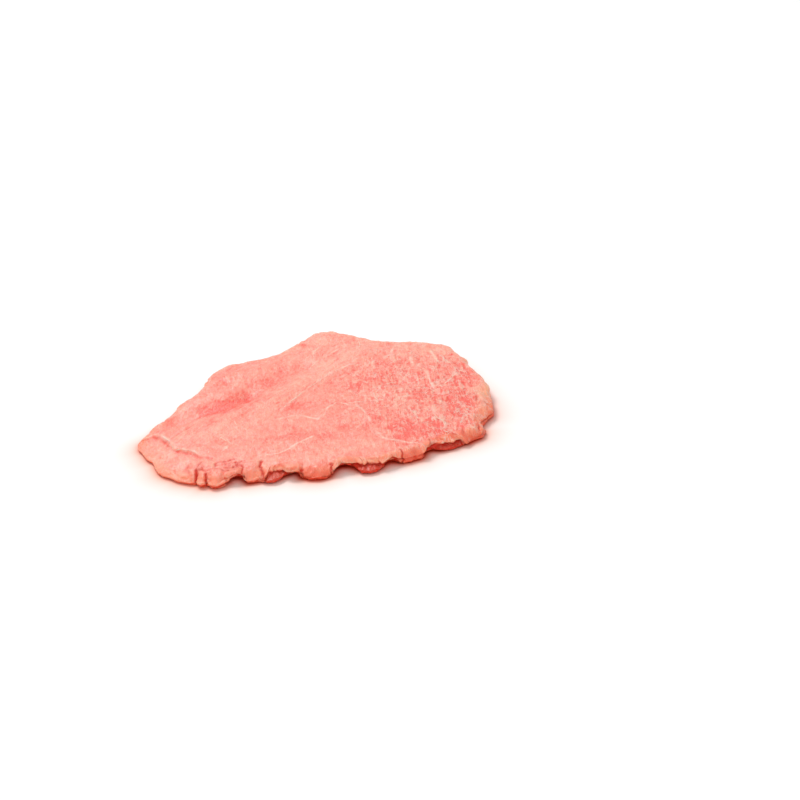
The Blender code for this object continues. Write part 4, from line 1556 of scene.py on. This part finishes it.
def thread_grower():
    """The tree that makes all threads from the long ones' lines."""
    sizes = ("Step", "Wander", "Sink", "Short per square metre", "Short length", "Short half width")
    kinds = {"Flesh": "Object", "Paint": "Material", **{size: "Float" for size in sizes}, "Seed": "Int"}
    grower = Grower("threads", kinds)
    add = grower.add
    drawn_lines = {"Curve": grower.given("Geometry")}
    long_lines = add("GeometryNodeCurveSplineType", {"spline_type": "CATMULL_ROM"}, drawn_lines)
    both = add("GeometryNodeJoinGeometry", {}, {"Geometry": [long_lines, short_threads(grower)]})
    stepped = {"Curve": both, "Length": grower.given("Step")}
    both = add("GeometryNodeResampleCurve", {"mode": "LENGTH"}, stepped)
    where = add("GeometryNodeInputPosition")
    sway = grower.vector("SUBTRACT", grower.noise(where, WANDER_SCALE, 2.0, "Color"), (0.5, 0.5, 0.5))
    sway = grower.vector("MULTIPLY", sway, (1.0, 1.0, 0.0))
    sway = grower.scaled(sway, grower.given("Wander"))
    both = add("GeometryNodeSetPosition", {}, {"Geometry": both, "Offset": sway})
    dips = grower.noise(where, DIP_SCALE, 1.0, 0) * grower.given("Sink") - DIP_BALANCE
    both = dropped(grower, both, grower.given("Flesh"), add("GeometryNodeInputRadius") * dips)
    along = add("GeometryNodeSplineParameter", {}, {}, "Factor")
    taper = 4.0 * along * (1.0 - along)
    taper = taper.maths("POWER", taper, TAPER_POWER)
    circle = {"Resolution": RING_SIDES, "Radius": 1.0}
    ring = add("GeometryNodeCurvePrimitiveCircle", {"mode": "RADIUS"}, circle, "Curve")
    tube = {"Curve": both, "Profile Curve": ring, "Fill Caps": True}
    tube["Scale"] = add("GeometryNodeInputRadius") * taper
    tubes = add("GeometryNodeCurveToMesh", {}, tube)
    tubes = add("GeometryNodeSetShadeSmooth", {}, {"Geometry": tubes, "Shade Smooth": True})
    grower.end_with(tubes, grower.given("Paint"))
    return grower


grower = thread_grower()
print("thread tree:", len(grower.tree.nodes), "nodes")

# %% [markdown]
# ## The threads' finish
# Fat and sinew are cream and a little duller than the flesh, with soft beads of lighter fat in them. They
# let light in as the flesh does.

# %% Grow the threads
THREAD_SIZES = {
    "Step": 0.0005,
    "Wander": 0.0016,
    "Sink": 4.6,
    "Short per square metre": 9000.0,
    "Short length": 0.0042,
    "Short half width": 0.00015,
    "Seed": 5,
}
SINEW = colour(255, 198, 172)
FAT = colour(255, 226, 204)


def fat_thread(tree):
    """Threads: two creams in soft beads, dull, with a faint relief."""
    beads = cloud(tree, place(tree, 0, (0.0022, 0.0022, 0.0022)), 2.0)
    bump = {"Strength": 0.4, "Distance": 0.0001, "Height": beads}
    return {**MOIST, "Subsurface Weight": 0.35,
            "Base Color": mixed(between(beads, 0.35, 0.65), SINEW, FAT),
            "Roughness": 0.48 - (beads - 0.5) * 0.2,
            "Normal": Wire.node(tree, "ShaderNodeBump", {}, bump)}


thread_values = {"Flesh": flesh, "Paint": painted("fat_thread", fat_thread), **THREAD_SIZES}
threads = grower.grown(thread_paths, thread_values, "threads")
print("threads:", len(threads.data.polygons), "faces")

# %% [markdown]
# ## The floor
# The slice lies on a plain, nearly white floor. Near its edge, most of all in front, the floor is painted
# pink for the light that comes through the flesh and off it, and a narrow dark red painted contact shadow
# runs where they meet. Both follow the outline, so the floor is a grid that is fine near the slice, and its
# points carry them.

# %% Measure the floor against the slice
FLOOR_SIZE = 6.0
FLOOR_DROP = 0.0001
FLOOR_FINE = 0.132
FLOOR_STEP = 0.0012
HALO_REACH = 0.0072
HALO_Y = (0.020, -0.045)
CONTACT_SHADOW_REACH = 0.0026
CONTACT_SHADOW_X = (-0.060, -0.032)
LOOP_STRIDE = 6  # every sixth point of the slice's rim is enough here

fine_lines = np.arange(-FLOOR_FINE, FLOOR_FINE + FLOOR_STEP / 2, FLOOR_STEP)
grid_lines = np.concatenate([[-FLOOR_SIZE / 2], fine_lines, [FLOOR_SIZE / 2]])
floor_x, floor_y = (side.ravel() for side in np.meshgrid(grid_lines, grid_lines))
floor_points = np.column_stack([floor_x, floor_y, np.full(len(floor_x), -FLOOR_DROP)])
corner = np.arange(len(floor_points)).reshape(len(grid_lines), len(grid_lines))
squares = np.stack([corner[:-1, :-1], corner[:-1, 1:], corner[1:, 1:], corner[1:, :-1]], axis=-1)
squares = squares.reshape(-1, 4)
around = loop_plan[::LOOP_STRIDE]
from_meat = distance_to(floor_points[:, :2], np.vstack([around, around[:1]]))
from_meat[inside(floor_points[:, :2], around)] = 0.0
# Painted light and shade on the floor: pink near the meat, most in front, and a dark red contact shadow at
# its edge.
near_meat = np.exp(-from_meat / HALO_REACH) * (0.45 + 0.55 * ramp(floor_y, *HALO_Y))
juice = bell(from_meat, CONTACT_SHADOW_REACH) * (0.25 + 0.75 * ramp(floor_x, *CONTACT_SHADOW_X))
print("floor:", FLOOR_SIZE, "m square,", len(floor_points), "points")

# %% [markdown]
# ## Painting the floor
# The floor is dull paper white, with no shine that could mirror the slice. It belongs to the stage, not
# to the part.

# %% Lay the floor
FLOOR_WHITE = (0.96, 0.955, 0.95, 1.0)
# Painted pink light near the meat, then a painted dark red contact shadow.
HALO = (0.95, 0.45, 0.31, 1.0)
CONTACT_SHADOW = (0.58, 0.060, 0.022, 1.0)


def pale_floor(tree):
    """Dull white, with painted pink light and a painted contact shadow near the meat."""
    tinted = mixed(share(tree, "near_meat"), FLOOR_WHITE, HALO)
    tinted = mixed(share(tree, "juice"), tinted, CONTACT_SHADOW)
    return {"Base Color": tinted, "Roughness": 0.9, "Specular IOR Level": 0.0}


floor = with_shares(made_piece("floor", floor_points, squares), {"near_meat": near_meat, "juice": juice})
floor.data.materials.append(painted("pale_floor", pale_floor))
print("floor:", len(floor.data.polygons), "squares")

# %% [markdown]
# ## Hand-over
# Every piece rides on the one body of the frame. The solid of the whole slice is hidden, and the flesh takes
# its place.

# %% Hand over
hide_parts("schnitzel")
for piece in (flesh, threads):
    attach(piece, "root")
